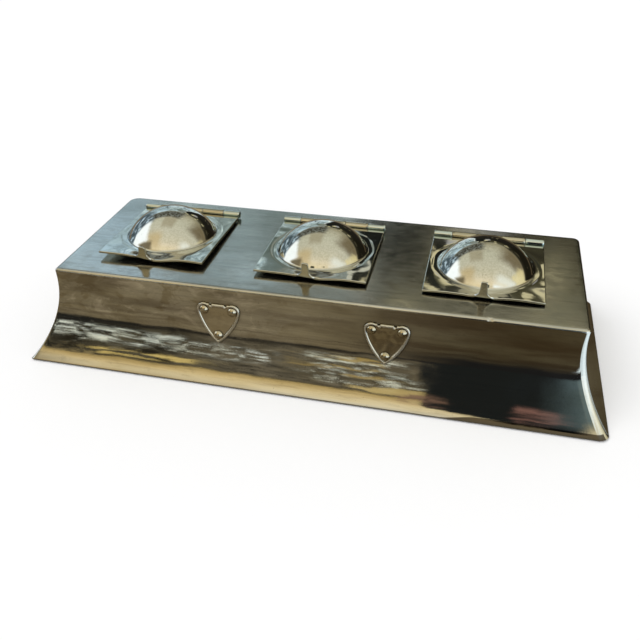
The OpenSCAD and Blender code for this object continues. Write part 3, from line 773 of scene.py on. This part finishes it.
class Paint(Nodes):
    """A material and the helpers for its pattern."""

    def __init__(self, name, shader="ShaderNodeBsdfPrincipled"):
        self.material = bpy.data.materials.new(name)
        self.material.use_nodes = True
        super().__init__(self.material.node_tree)
        out = self.add("ShaderNodeOutputMaterial")
        self.shader = self.add(shader)
        self.plug(out.inputs["Surface"], self.shader.outputs[0])
        self.place = self.add("ShaderNodeTexCoord").outputs["Object"]

    def set(self, **values):
        for key, value in values.items():
            self.plug(self.shader.inputs[key.replace("_", " ")], value)

    def noise(self, scale, detail=4.0, rough=0.5, distortion=0.0, move=(0, 0, 0)):
        place = self.made("ShaderNodeMapping", {"Vector": self.place, "Scale": scale, "Location": move})
        inputs = {"Vector": place, "Scale": 1.0, "Detail": detail, "Roughness": rough,
                  "Distortion": distortion}
        return self.made("ShaderNodeTexNoise", inputs, "Fac")

    def span(self, value, low, high, to_low=0.0, to_high=1.0, smooth=True):
        """The value's way from low to high, as a way from to_low to to_high."""
        inputs = {"Value": value, "From Min": low, "From Max": high, "To Min": to_low, "To Max": to_high}
        kind = "SMOOTHSTEP" if smooth else "LINEAR"
        return self.made("ShaderNodeMapRange", inputs, interpolation_type=kind)

    def band(self, value, low, high, soft):
        """1 between low and high, 0 outside."""
        return self.times(self.span(value, low - soft, low + soft),
                          self.span(value, high + soft, high - soft))

    def mix(self, share, a, b, strength=1):
        if strength != 1:
            share = self.times(share, strength)
        inputs = {"Factor": share, 6: a, 7: b}
        return self.made("ShaderNodeMix", inputs, 2, data_type="RGBA", clamp_factor=True)

    def ramp(self, value, stops):
        node = self.add("ShaderNodeValToRGB")
        elements = node.color_ramp.elements
        while len(elements) < len(stops):
            elements.new(0.5)
        for element, (where, colour) in zip(elements, stops):
            element.position = where
            element.color = (*colour, 1)
        self.plug(node.inputs[0], value)
        return node.outputs[0]

    def crevice_dirt_and_shade(self, reach):
        """1 in crevices narrower than about this reach, 0 on open faces."""
        open_share = self.made("ShaderNodeAmbientOcclusion", {"Distance": reach}, "AO", samples=6)
        return self.span(open_share, 0.95, 0.5)

    def facing(self, name):
        """A part of the surface's own direction in the piece's frame."""
        return self.made("ShaderNodeSeparateXYZ", {0: self.add("ShaderNodeTexCoord").outputs["Normal"]}, name)

    def axis(self, name):
        return self.made("ShaderNodeSeparateXYZ", {0: self.place}, name)

    def bump(self, height, distance, strength):
        return self.made("ShaderNodeBump", {"Height": height, "Distance": distance, "Strength": strength})


def shade(r, g, b):
    """A colour given as it shows on screen, from 0 to 1, as linear light."""
    return tuple(c / 12.92 if c <= 0.04045 else ((c + 0.055) / 1.055) ** 2.4 for c in (r, g, b))


def dimmed(tone, share):
    return shade(*[c * share for c in tone])


def worn_silver(name, tone, cloud, rough, streak=0.0, fleck=0.5, dirt_and_shade_reach=0.0, rubbed_and_highlight=0.0):
    """Silver plate: a tone clouded by tarnish, with fine polishing marks along its length and small flecks.
    It is darkened in crevices up to this size, as dirt and painted shade, and where it is rubbed it is this
    much rougher and painted brighter, partly a highlight."""
    p = Paint(name)
    big = p.noise((14, 22, 30), 5, 0.6, 0.6)
    small = p.noise((120, 170, 200), 6, 0.65)
    colour = p.mix(p.span(big, 0.36, 0.66), shade(*tone), shade(*cloud))
    colour = p.mix(p.span(small, 0.55, 0.8), colour, dimmed(tone, 0.72), 0.35)
    speck = p.span(p.noise((900, 900, 900), 2), 0.70, 0.78)
    colour = p.mix(speck, colour, dimmed(tone, 0.45), fleck)
    lines = p.noise((26, 420, 700), 5, 0.7)
    colour = p.mix(p.span(lines, 0.45, 0.75), colour, dimmed(tone, 0.8), streak)
    roughness = p.plus(p.span(small, 0.3, 0.75, rough * 0.75, rough * 1.25),
                       p.times(p.span(big, 0.4, 0.7), rough * 0.35))
    marks = p.plus(p.times(lines, 0.5), small)
    if dirt_and_shade_reach:
        # Crevices darkened from ambient occlusion, as dirt and painted shade
        colour = p.mix(p.crevice_dirt_and_shade(dirt_and_shade_reach), colour, shade(*DIRT_AND_SHADE), 0.9)
    if rubbed_and_highlight:
        # Rubbed places are rougher and painted brighter, partly as a highlight
        share = p.add("ShaderNodeAttribute", attribute_name="rubbed_and_highlight").outputs["Fac"]
        colour = p.mix(share, colour, shade(*RUBBED_HIGHLIGHT_TONE))
        roughness = p.plus(roughness, p.times(share, rubbed_and_highlight))
    p.set(Base_Color=colour, Metallic=1.0, Roughness=roughness, Normal=p.bump(marks, FINE_MARKS, 0.6))
    p.colour, p.roughness = colour, roughness
    return p


def front_silver():
    """The front: smudges at the upper left, long polishing streaks, and a painted dark reflection on the
    foot's lip at the right.
    """
    p = worn_silver("front_silver", *SIDE_TONES, 0.032, 0.4, dirt_and_shade_reach=0.0026, rubbed_and_highlight=0.3)
    smear = p.span(p.noise((36, 90, 170), 6, 0.66, 0.6, move=(2, 0, 1)), 0.54, 0.66)
    smear = p.times(smear, p.span(p.axis("X"), 0.01, -0.06))
    mottle = p.noise((45, 60, 80), 5, 0.66, 0.5, move=(1, 3, 2))
    upper = p.times(p.span(p.axis("Z"), 24 * MM, 34 * MM), p.span(p.axis("X"), 0.03, -0.05))
    colour = p.mix(p.times(upper, p.span(mottle, 0.51, 0.64, 0.0, 0.8)), p.colour, shade(0.99, 0.98, 0.94))
    colour = p.mix(p.times(upper, p.span(mottle, 0.48, 0.37, 0.0, 0.7)), colour, shade(0.68, 0.64, 0.54))
    # A painted dark reflection on the foot's lip, whose top rises towards the right
    dark_reflection_rise = p.span(p.axis("X"), 78 * MM, 98 * MM, 0.0, 1.8 * MM)
    lip = p.span(p.less(p.axis("Z"), dark_reflection_rise), 1.6 * MM, 1.2 * MM)
    smear = p.times(smear, p.span(p.axis("Z"), 28 * MM, 38 * MM, 0.12, 0.24))
    p.set(Roughness=p.plus(p.roughness, smear), Base_Color=p.mix(lip, colour, shade(0.26, 0.22, 0.17), 0.9))
    return p.material


def lid_silver():
    """The lids: bright above and below; their edges and thumb tabs are rougher and painted darker as shade.
    """
    p = worn_silver("lid_silver", (0.92, 0.91, 0.87), (0.88, 0.87, 0.82), 0.04, 0.1, 0.3, dirt_and_shade_reach=0.0022)
    # Painted shade on sideways-facing edges and tabs, with more roughness
    dull_and_shaded = p.times(p.span(p.facing("Z"), 0.34, 0.16), p.span(p.facing("Z"), -0.8, -0.5))
    p.set(Base_Color=p.mix(dull_and_shaded, p.colour, shade(0.60, 0.60, 0.54), 0.8),
          Roughness=p.plus(p.roughness, p.times(dull_and_shaded, 0.18)))
    return p.material


def hinge_silver():
    """The hinges: golden above and painted darker below as shade; the end knuckles get a cooler tint, a
    painted reflection colour.
    """
    p = worn_silver("hinge_silver", (0.86, 0.83, 0.74), (0.76, 0.73, 0.64), 0.08, dirt_and_shade_reach=0.0009)
    # Painted shade: darker where the surface faces down
    low = p.span(p.facing("Z"), 0.5, 0.1)
    off = [p.math("ABSOLUTE", p.less(p.axis("X"), hinge.x)) for hinge in HINGES]
    seam = LID_WIDTH / 2 - END_KNUCKLE
    nearest = p.math("MINIMUM", p.math("MINIMUM", off[0], off[1]), off[2])
    # End knuckles: a cool tint, pale above and teal below, painted as reflection colour
    end = p.span(nearest, seam - 0.1 * MM, seam + 0.1 * MM)
    golden_over_painted_shade = p.mix(low, p.colour, shade(0.50, 0.52, 0.48), 0.75)
    cool_painted_reflection = p.mix(low, shade(0.88, 0.93, 0.93), shade(0.48, 0.62, 0.64), 0.8)
    p.set(Base_Color=p.mix(end, golden_over_painted_shade, cool_painted_reflection, 0.85))
    return p.material


def glass():
    p = Paint("pot_glass")
    film = p.noise((60, 60, 25), 5)
    p.set(Base_Color=p.mix(film, (0.93, 0.97, 0.96), (0.84, 0.90, 0.90)), IOR=1.5, Transmission_Weight=1.0,
          Roughness=p.span(film, 0.3, 0.8, 0.0, 0.12))
    return p.material


def plain_metal(name, tone, rough):
    p = Paint(name)
    turned = p.noise((600, 600, 60), 5)
    p.set(Base_Color=p.mix(p.span(turned, 0.3, 0.75), shade(*tone), dimmed(tone, 0.7)), Metallic=1.0,
          Roughness=p.span(turned, 0.3, 0.7, rough * 0.7, rough * 1.4),
          Normal=p.bump(turned, FINE_MARKS, 0.5))
    return p.material


def wood():
    p = Paint("base_wood")
    bend = p.noise((6, 30, 30), 3)
    grain = p.noise((9, 240, 240), 8, 0.62, 0.8)
    pores = p.span(p.noise((60, 1500, 1500), 3), 0.58, 0.72)
    colour = p.mix(p.span(grain, 0.3, 0.7), shade(0.40, 0.25, 0.15), shade(0.27, 0.15, 0.09))
    colour = p.mix(p.span(bend, 0.4, 0.7), colour, shade(0.46, 0.31, 0.19), 0.4)
    colour = p.mix(pores, colour, shade(0.14, 0.08, 0.05), 0.6)
    p.set(Base_Color=colour, Roughness=p.span(grain, 0.3, 0.7, 0.5, 0.72),
          Normal=p.bump(grain, 0.1 * MM, 0.6))
    return p.material


def baize():
    p = Paint("baize")
    nap = p.noise((1400, 1400, 1400), 5, 0.7)
    wear = p.noise((18, 18, 18), 5)
    colour = p.mix(p.span(nap, 0.3, 0.7), shade(0.13, 0.25, 0.17), shade(0.20, 0.34, 0.24))
    colour = p.mix(p.span(wear, 0.5, 0.75), colour, shade(0.30, 0.38, 0.29), 0.45)
    p.set(Base_Color=colour, Roughness=0.95, Sheen_Weight=0.4, Normal=p.bump(nap, 0.2 * MM, 0.8))
    return p.material


SIDE_SILVER = worn_silver("side_silver", *SIDE_TONES, 0.10, 0.4, rubbed_and_highlight=0.3).material
FRONT_SILVER = front_silver()
TOP_SILVER = worn_silver("top_silver", (0.86, 0.85, 0.82), (0.79, 0.79, 0.76), 0.17, 0.5).material
LID_SILVER = lid_silver()
# The hearts: a brown-gold field inside a rim that is rubbed: rougher and painted brighter, partly a highlight
HEART_SILVER = worn_silver("heart_silver", (0.86, 0.83, 0.75), (0.78, 0.73, 0.61), 0.11, dirt_and_shade_reach=0.0012,
                           rubbed_and_highlight=0.3).material
HINGE_SILVER = hinge_silver()
GLASS, WOOD, BAIZE = glass(), wood(), baize()
STEEL = plain_metal("pin_steel", (0.55, 0.54, 0.52), 0.25)
BRASS = plain_metal("fixing_brass", (0.74, 0.60, 0.34), 0.25)


# Pieces of the body
for name, quarter, left, right in (
        ("front", 0, "front_left", "front_right"), ("rear", 2, "rear_right", "rear_left"),
        ("right_end", 1, "front_right", "rear_right"), ("left_end", -1, "rear_left", "front_left")):
    half, out, steps = (HALF_WIDTH, HALF_LENGTH, 50) if quarter % 2 else (HALF_LENGTH, HALF_WIDTH, 130)
    sheet = side_panel(f"{name}_sheet", 2 * half, out, quarter * math.pi / 2, left, right, steps)
    finish_piece(sheet, "body", "plated_sheet", FRONT_SILVER if name == "front" else SIDE_SILVER,
                 f"{name}_panel")
finish_piece(top_plate(), "body", "plated_sheet", TOP_SILVER, "top_plate")

# Lids, hinges and pots
for i, side in enumerate(SIDES):
    hinge, tilt, look = HINGES[i], LID_TILTS[i], LIDS[i]
    finish_piece(lid_sheet(f"{side}_lid_sheet", look, hinge, tilt), f"{side}_lid", "plated_lid", LID_SILVER,
                 f"{side}_lid")
    fixed = Matrix.Translation(hinge)
    swing = fixed @ Matrix.Rotation(-tilt, 4, "X")
    rolls = [placed(knuckle(k, PIN_R + 0.05 * MM, i + k), swing) for k in (0, 2, 4)]
    finish_piece(joined(f"{side}_lid_rolls", rolls), f"{side}_lid", "plated_hinge", HINGE_SILVER,
                 f"{side}_lid_knuckles")
    ends, base = knuckle_ends(), TOP_Z - hinge.z
    boxes = [(-LID_WIDTH / 2, -LEAF_REACH, LID_WIDTH / 2, -KNUCKLE_R - 0.3 * MM)]
    for k in (1, 3):
        boxes.append((ends[k] + KNUCKLE_GAP / 2, -KNUCKLE_R - 0.4 * MM, ends[k + 1] - KNUCKLE_GAP / 2, 0))
    parts = [knuckle(k, PIN_R, i - k) for k in (1, 3)]
    parts += [soft_box((x0, y0, base), (x1, y1, base + LEAF_THICK), 0.1 * MM) for x0, y0, x1, y1 in boxes]
    finish_piece(joined(f"{side}_leaf", [placed(part, fixed) for part in parts]), "body", "plated_hinge",
                 HINGE_SILVER, f"{side}_hinge_leaf")
    finish_piece(ink_pot(side), "body", "pot_glass", GLASS, f"{side}_ink_pot")

# Hearts
for name, seed, relief in (("left", 6.6, 0.05), ("right", 15.4, 0.12)):
    heart_low, heart_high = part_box(f"heart_plate_{name}")
    heart_x = (heart_low.x + heart_high.x) / 2
    finish_piece(heart_plate(f"{name}_heart", heart_x, seed, relief), "body", "plated_heart", HEART_SILVER,
                 f"heart_plate_{name}")
    across, lobes_z = HEART_WIDTH / 2 - LOBE_R, HEART_TOP - LOBE_R
    spots = [(-across, lobes_z), (across, lobes_z), (0, HEART_TOP - HEART_HEIGHT + LOW_RIVET_RISE)]
    rivets = [rivet(heart_x + x, z, 3.1 * k + seed) for k, (x, z) in enumerate(spots)]
    finish_piece(joined(f"{name}_rivets", rivets), "body", "plated_heart", HEART_SILVER,
                 f"heart_rivets_{name}")

# Nodes that keep the CAD shape
KEPT = {"base_board": WOOD, "base_baize": BAIZE, "base_lugs": BRASS, "base_screws": BRASS}
KEPT.update({f"{side}_hinge_pin": STEEL for side in SIDES})
for node, material in KEPT.items():
    for material_slot in frame["nodes"][node].material_slots:
        material_slot.material = material


# Camera, light and floor

def camera():
    """The photo's camera, solved from the outline: its turns in radians, its place in mm and its focal
    length in pixels of a picture 640 wide."""
    data = bpy.data.cameras.new("camera")
    obj = linked("camera", data)
    yaw, pitch, roll = 0.2396, 0.5861, -0.0127
    sensor, focal_px, picture_px = 36, 719.08, 640
    ahead = Vector((-math.sin(yaw) * math.cos(pitch), math.cos(yaw) * math.cos(pitch), -math.sin(pitch)))
    right = Vector((math.cos(yaw), math.sin(yaw), 0))
    up = right.cross(ahead)
    right, up = (math.cos(roll) * right + math.sin(roll) * up, -math.sin(roll) * right + math.cos(roll) * up)
    turn = Matrix((right, up, -ahead)).transposed().to_4x4()
    turn.translation = Vector((86.2, -365.7, 257.1)) * MM
    obj.matrix_world = turn
    data.sensor_fit = "HORIZONTAL"
    data.sensor_width = sensor
    data.lens = sensor * focal_px / picture_px
    data.clip_start = 0.01
    data.dof.use_dof = False
    bpy.context.scene.camera = obj


def world():
    """Soft light from all round, and a white background."""
    made = bpy.data.worlds.new("studio")
    bpy.context.scene.world = made
    made.use_nodes = True
    n = Nodes(made.node_tree)
    light, white = (n.made("ShaderNodeBackground", {"Color": (1, 1, 1), "Strength": s}) for s in (0.6, 1.0))
    n.plug(n.add("ShaderNodeOutputWorld").inputs["Surface"],
           n.made("ShaderNodeMixShader", {0: n.seen(), 1: light, 2: white}))


def floor():
    s, lift = 12.0, 0.12
    mesh = bpy.data.meshes.new("floor")
    mesh.from_pydata([(-s, -s, 0), (s, -s, 0), (s, s, 0), (-s, s, 0)], [], [(0, 1, 2, 3)])
    obj = linked("floor", mesh)
    p = Paint("floor_paper")
    grain = p.noise((900, 900, 900), 3)
    p.set(Base_Color=p.mix(grain, (0.90, 0.90, 0.90), (0.94, 0.94, 0.94)), Roughness=0.9,
          Specular_IOR_Level=0.0, Emission_Color=(1, 1, 1), Emission_Strength=p.times(p.seen(), lift))
    mesh.materials.append(p.material)


def sun():
    """One wide soft light from the upper front left."""
    data = bpy.data.lights.new("soft_sun", "SUN")
    data.energy = 1.4
    data.angle = math.radians(50)
    obj = linked("soft_sun", data)
    obj.rotation_euler = Vector((0.5, 0.35, -1.0)).to_track_quat("-Z", "Y").to_euler()
    obj.visible_camera = False
    obj.visible_glossy = False


# The room that the silver mirrors

TENT_R = 1.5
# The share of the light that polished silver throws back
SILVER = (0.70, 0.69, 0.64)


def lit(r, g, b):
    """The glow that shows as this colour on screen once silver has thrown it back."""
    return tuple(c / part for c, part in zip(shade(r, g, b), SILVER))


def lit_stops(*stops):
    return [(where, lit(*tone)) for where, tone in stops]


def tent_colour(p):
    """The room round the desk. x runs from -1 at the left to 1 at the right, and turn from the front
    horizon (0) over the top (0.5) to the back horizon (1). Both waver, true_x and level don't."""
    bend = p.noise((1.5, 2.2, 2.2))
    ripple = p.noise((5, 7, 7), 5, 0.6, move=(3, 1, 2))
    fine = p.noise((16, 12, 12), 4, 0.6, move=(1, 4, 2))
    sway = p.plus(p.less(bend, 0.5), p.times(p.less(ripple, 0.5), 0.4))
    true_x = p.math("DIVIDE", p.axis("X"), TENT_R)
    x = p.plus(true_x, p.times(sway, 0.16))
    around = p.math("ARCTAN2", p.axis("Z"), p.times(p.axis("Y"), -1.0))
    level = p.math("DIVIDE", around, math.pi)
    turn = p.plus(level, p.times(sway, 0.03))

    colour = p.ramp(turn, lit_stops(
        (0.00, (0.27, 0.25, 0.20)), (0.150, (0.30, 0.27, 0.20)), (0.158, (0.68, 0.59, 0.38)),
        (0.180, (0.80, 0.72, 0.53)), (0.21, (0.83, 0.78, 0.64)), (0.27, (0.81, 0.77, 0.66)),
        (0.36, (0.74, 0.72, 0.62)), (0.45, (0.72, 0.71, 0.63)), (0.60, (0.69, 0.69, 0.61)),
        (0.70, (0.62, 0.61, 0.52)), (0.77, (0.55, 0.53, 0.43)), (0.80, (0.46, 0.45, 0.38)),
        (0.825, (0.36, 0.35, 0.26)), (0.845, (0.20, 0.20, 0.17)), (0.87, (0.11, 0.11, 0.09)),
        (0.97, (0.13, 0.12, 0.10)), (1.00, (0.20, 0.18, 0.15))))

    def glowing(tone):
        """A tone as a glow. A colour that nodes make is one already."""
        return lit(*tone) if isinstance(tone, tuple) else tone

    def two(share, a, b):
        """A glow between two tones."""
        return p.mix(share, lit(*a), lit(*b))

    def over(share, tone, strength=1):
        """Lays a tone over what is there so far."""
        nonlocal colour
        colour = p.mix(share, colour, glowing(tone), strength)

    def patch(left, right, low, high, soft_x=0.05, soft_turn=0.02, steady=False):
        """1 inside a soft-edged patch of the room, 0 outside."""
        return p.times(p.band(true_x if steady else x, left, right, soft_x),
                       p.band(level if steady else turn, low, high, soft_turn))

    def fill(tone, strength, *place, **kind):
        """Lays a tone over one patch."""
        over(patch(*place, **kind), tone, strength)

    def blot(at_x, at_turn, wide, high, tone, strength=0.85):
        """A ragged oval patch of the room."""
        off_x = p.math("DIVIDE", p.less(true_x, at_x), wide)
        off_turn = p.math("DIVIDE", p.less(level, at_turn), high)
        off = p.math("SQRT", p.plus(p.times(off_x, off_x), p.times(off_turn, off_turn)))
        over(p.span(p.plus(off, p.times(fine, 2.4)), 2.35, 2.1), tone, strength)

    over(p.times(p.span(fine, 0.46, 0.34), p.span(turn, 0.5, 0.2)), (0.50, 0.45, 0.33), 0.3)
    over(p.band(turn, 0.28, 0.74, 0.04),
         two(p.span(fine, 0.40, 0.60), (0.60, 0.59, 0.50), (0.76, 0.75, 0.67)), 0.35)

    # Sky at the back left, with clouds, over a dark hedge, in a window with a pale frame
    sky = p.ramp(turn, lit_stops(
        (0.775, (0.60, 0.64, 0.62)), (0.80, (0.58, 0.66, 0.68)), (0.82, (0.56, 0.64, 0.66)),
        (0.84, (0.49, 0.55, 0.54)), (0.862, (0.46, 0.52, 0.51)), (0.875, (0.62, 0.70, 0.72)),
        (0.94, (0.74, 0.82, 0.84)), (0.985, (0.80, 0.86, 0.88)), (1.00, (0.30, 0.32, 0.32))))
    cloud = p.noise((7.0, 4.0, 9.0), 6, 0.62, 1.2, move=(0.4, 0, 0))
    sky = p.mix(p.times(p.span(cloud, 0.54, 0.58), p.span(turn, 0.80, 0.83)), sky, lit(0.78, 0.85, 0.83))
    sky = p.mix(p.span(cloud, 0.46, 0.40), sky, lit(0.28, 0.32, 0.31), 0.8)
    sky = p.mix(p.span(true_x, -0.44, -0.50), sky, two(p.span(turn, 0.82, 0.85), (0.64, 0.74, 0.79),
                                                      (0.56, 0.64, 0.66)))
    wisp = p.noise((17, 5, 24), 5, 0.6, 1.6, move=(2, 1, 0))
    sky = p.mix(p.span(wisp, 0.55, 0.59), sky, lit(0.29, 0.33, 0.31), 0.65)
    sky = p.mix(p.span(wisp, 0.44, 0.40), sky, lit(0.80, 0.88, 0.88), 0.7)
    fill(sky, 1, -0.80, -0.13, 0.788, 1.1, 0.02, 0.008)
    fill((0.42, 0.43, 0.38), 0.8, -0.27, -0.13, 0.79, 0.845, 0.03, 0.01)
    fill((0.08, 0.09, 0.08), 0.92, -0.137, 0.0, 0.790, 0.880, 0.012, 0.012)
    fill((0.20, 0.19, 0.13), 0.8, 0.08, 0.42, 0.803, 0.86, 0.03, 0.01, steady=True)
    blot(0.06, 0.815, 0.045, 0.016, (0.08, 0.09, 0.07))
    blot(-0.285, 0.834, 0.035, 0.012, (0.27, 0.31, 0.28), 0.7)
    blot(-0.125, 0.818, 0.025, 0.010, (0.72, 0.72, 0.65))
    blot(0.062, 0.854, 0.045, 0.016, (0.62, 0.62, 0.60))
    for spot in ((-0.053, 0.800, 0.04, 0.006), (0.026, 0.834, 0.035, 0.011), (0.189, 0.799, 0.04, 0.007),
                 (0.188, 0.828, 0.02, 0.007), (0.40, 0.828, 0.05, 0.009), (0.585, 0.845, 0.06, 0.010)):
        blot(*spot, (0.74, 0.71, 0.56))
    frame_x, frame_turn = (p.math("ABSOLUTE", p.less(p.math("FRACT", p.times(way, count)), 0.5))
                           for way, count in ((x, 5.2), (turn, 14.0)))
    frame_line = p.math("MAXIMUM", p.span(frame_x, 0.050, 0.035), p.span(frame_turn, 0.055, 0.04))
    over(p.times(frame_line, patch(-0.80, -0.14, 0.868, 0.99, 0.01, 0.004)), (0.16, 0.17, 0.17), 0.85)
    fill((0.74, 0.76, 0.72), 0.7, -0.72, -0.14, 0.777, 0.787, 0.02, 0.003)
    fill((0.86, 0.88, 0.86), 0.8, -0.155, -0.135, 0.855, 1.1, 0.006, 0.01)
    hedge = two(p.span(fine, 0.44, 0.58), (0.13, 0.12, 0.10), (0.40, 0.42, 0.40))
    fill(hedge, 0.92, -0.76, -0.02, 0.655, 0.782, 0.09, 0.02)
    fill((0.10, 0.09, 0.07), 0.7, 0.16, 0.42, 0.848, 0.98, 0.04, 0.01)
    lights = p.noise((9, 5, 9), 4, 0.6, move=(6, 0, 1))
    over(p.times(p.span(lights, 0.66, 0.69), patch(0.05, 0.95, 0.76, 0.95)), (0.82, 0.78, 0.60), 0.8)

    # The left: a bright window over a dark corner
    bars = two(p.span(ripple, 0.47, 0.62), (0.26, 0.31, 0.33), (0.64, 0.72, 0.76))
    fill(bars, 1, -1.2, -0.68, 0.61, 1.1, 0.07, 0.04)
    fill((0.92, 0.95, 0.95), 1, -1.2, -0.72, 0.32, 0.64, 0.05, 0.04)
    fill((0.70, 0.61, 0.41), 0.6, -0.72, -0.32, 0.22, 0.43, 0.13, 0.07)
    fill((0.30, 0.27, 0.20), 0.85, -1.2, -0.58, 0.18, 0.31, 0.07, 0.03)

    # The right: a pale doorway low down, a brown wall behind it and a yellow glow at the far right
    fill((0.36, 0.31, 0.21), 0.85, 0.40, 0.90, 0.56, 0.80, 0.16, 0.07)
    fill((0.09, 0.08, 0.05), 0.9, 0.42, 1.2, 0.785, 1.1, 0.05, 0.02)
    fill((0.56, 0.53, 0.43), 0.7, -0.42, -0.04, 0.50, 0.66, 0.06, 0.04)
    fill((0.84, 0.79, 0.58), 0.7, 0.84, 1.2, 0.38, 0.76, 0.04, 0.05)
    fill((0.86, 0.88, 0.84), 0.75, 0.44, 1.2, 0.24, 0.36, 0.14, 0.06)

    # The lower front, left of the middle: pale wavy panes over a dull room
    strips = p.noise((25.0, 1.0, 19.0), 6, 0.62, 1.2, move=(0.7, 0, 0))
    pane = two(p.noise((2.0, 1.0, 5), 2), (0.92, 0.91, 0.80), (0.84, 0.90, 0.91))
    far_left = two(p.span(fine, 0.42, 0.60), (0.15, 0.14, 0.11), (0.33, 0.31, 0.25))
    ground = two(p.span(fine, 0.35, 0.65), (0.29, 0.27, 0.22), (0.41, 0.38, 0.31))
    low_front = p.band(level, -0.05, 0.150, 0.008)
    over(p.times(low_front, p.span(true_x, -0.34, -0.42)), far_left)
    over(p.times(low_front, p.span(true_x, -0.42, -0.34)), ground)
    over(p.times(low_front, p.span(turn, 0.014, 0.004)), (0.12, 0.11, 0.09), 0.8)
    fill((0.13, 0.13, 0.12), 0.85, -0.64, -0.47, -0.02, 0.036, 0.03, 0.008)
    left_panes = patch(-0.62, -0.42, 0.026, 0.092, 0.02, 0.006)
    over(p.times(left_panes, p.span(strips, 0.53, 0.545)), pane)
    scraps = p.math("MAXIMUM", patch(-0.60, -0.26, 0.04, 0.095, 0.03, 0.01),
                    patch(-0.20, 0.0, 0.02, 0.13, 0.02, 0.01))
    over(p.times(scraps, p.span(strips, 0.55, 0.575)), pane)
    thread = p.noise((5.0, 1.0, 16.0), 3, 0.5, 0.8, move=(4.0, 0, 3))
    thread = p.span(p.math("ABSOLUTE", p.less(thread, 0.5)), 0.014, 0.007)
    over(p.times(thread, p.times(low_front, p.span(x, 0.02, -0.02))), (0.11, 0.10, 0.08), 0.85)
    gold = p.noise((8.0, 1.0, 15.0), 4, 0.6, move=(2.2, 0, 5))
    over(p.times(p.span(gold, 0.50, 0.54), patch(-0.56, -0.38, 0.118, 0.142, 0.02, 0.005)),
         (0.80, 0.71, 0.44), 0.9)
    over(p.times(p.span(gold, 0.56, 0.60), patch(-0.22, -0.02, 0.02, 0.10, 0.02, 0.01)),
         (0.68, 0.59, 0.36), 0.8)

    # Right of the middle: a dark room under a sloping edge, with dull red and blue-grey blurs
    blot(-0.05, 0.140, 0.07, 0.012, (0.74, 0.66, 0.44))
    edge = p.plus(p.span(true_x, -0.06, 0.03, 0.150, 0.192), p.span(true_x, 0.03, 0.24, 0.0, 0.029, False))
    under = p.span(p.less(p.mix(p.span(true_x, 0.03, 0.08), turn, level), edge), 0.004, -0.004)
    over(p.times(under, p.band(true_x, -0.003, 0.255, 0.009)), (0.11, 0.12, 0.12))
    for tone, place, low in (((0.48, 0.38, 0.32), (-0.045, 0.035, 0.135, 0.180, 0.012, 0.008), 0.35),
                             ((0.50, 0.37, 0.34), (0.165, 0.225, 0.13, 0.205, 0.012, 0.01), 0.32)):
        over(p.times(patch(*place), p.span(fine, low, 0.6)), tone, 0.9)
    fill((0.38, 0.45, 0.46), 0.88, 0.235, 0.40, -0.05, 0.19, 0.055, 0.04, steady=True)
    fill((0.90, 0.94, 0.94), 1, 0.40, 1.2, -0.1, 0.22, 0.05, 0.03, steady=True)
    return colour


def table_colour(p):
    """The table under the inkstand: brown, paler at the left, dark further off, a pale cloth at the right."""
    x, y = p.axis("X"), p.axis("Y")
    grain = p.span(p.noise((9, 26, 1), 6, 0.6), 0.35, 0.65)
    left = p.span(x, -0.06, 0.11, 1.0, 0.0)
    light = p.mix(left, lit(0.29, 0.26, 0.19), lit(0.48, 0.44, 0.35))
    deep = p.mix(left, lit(0.22, 0.18, 0.12), lit(0.35, 0.31, 0.24))
    off = p.mix(left, p.span(y, -0.14, -0.42), p.span(y, -0.5, -1.3))
    colour = p.mix(off, p.mix(grain, deep, light), lit(0.11, 0.11, 0.11))
    near = p.times(p.span(x, 0.178, 0.195), p.band(y, -0.30, 0.0, 0.03))
    far = p.times(p.span(p.plus(x, p.times(y, 0.25)), 0.17, 0.20), p.span(y, -0.20, -0.26))
    return p.mix(p.math("MAXIMUM", near, far), colour, lit(0.80, 0.86, 0.88))


def card(name, cloth, verts, faces, colour):
    """A reflection card: only polished surfaces see it, so it changes neither the light nor the shadow."""
    mesh = bpy.data.meshes.new(name)
    mesh.from_pydata(verts, [], faces)
    for polygon in mesh.polygons:
        polygon.use_smooth = True
    p = Paint(cloth, "ShaderNodeEmission")
    p.set(Color=colour(p))
    mesh.materials.append(p.material)
    obj = linked(name, mesh)
    for rays in ("camera", "diffuse", "shadow", "transmission", "volume_scatter"):
        setattr(obj, f"visible_{rays}", False)


def room():
    """A dome over the desk and a table round the foot, both seen only by polished surfaces."""
    rings, steps = 40, 96
    verts = []
    for up in np.linspace(0, math.pi / 2, rings + 1)[:-1]:
        for a in np.linspace(0, 2 * math.pi, steps + 1)[:-1]:
            verts.append((TENT_R * math.cos(up) * math.cos(a), TENT_R * math.cos(up) * math.sin(a),
                          TENT_R * math.sin(up)))
    verts.append((0, 0, TENT_R))
    faces = grid_faces(rings, steps, wrap_columns=True)
    last = (rings - 1) * steps
    faces += [(last + k, last + (k + 1) % steps, len(verts) - 1) for k in range(steps)]
    card("tent", "tent_cloth", verts, faces, tent_colour)

    # The table's inner edge lies just under the foot's
    under, z = 0.5 * MM, 0.4 * MM
    near_x, near_y = HALF_LENGTH + FLARE - under, HALF_WIDTH + FLARE - under
    verts = [(sx * x, sy * y, z) for x, y in ((near_x, near_y), (TENT_R, TENT_R))
             for sx, sy in ((-1, -1), (1, -1), (1, 1), (-1, 1))]
    faces = [(k, 4 + k, 4 + (k + 1) % 4, (k + 1) % 4) for k in range(4)]
    card("table", "table_card", verts, faces, table_colour)


camera()
world()
floor()
room()
sun()

view = bpy.context.scene.view_settings
view.view_transform = "Standard"
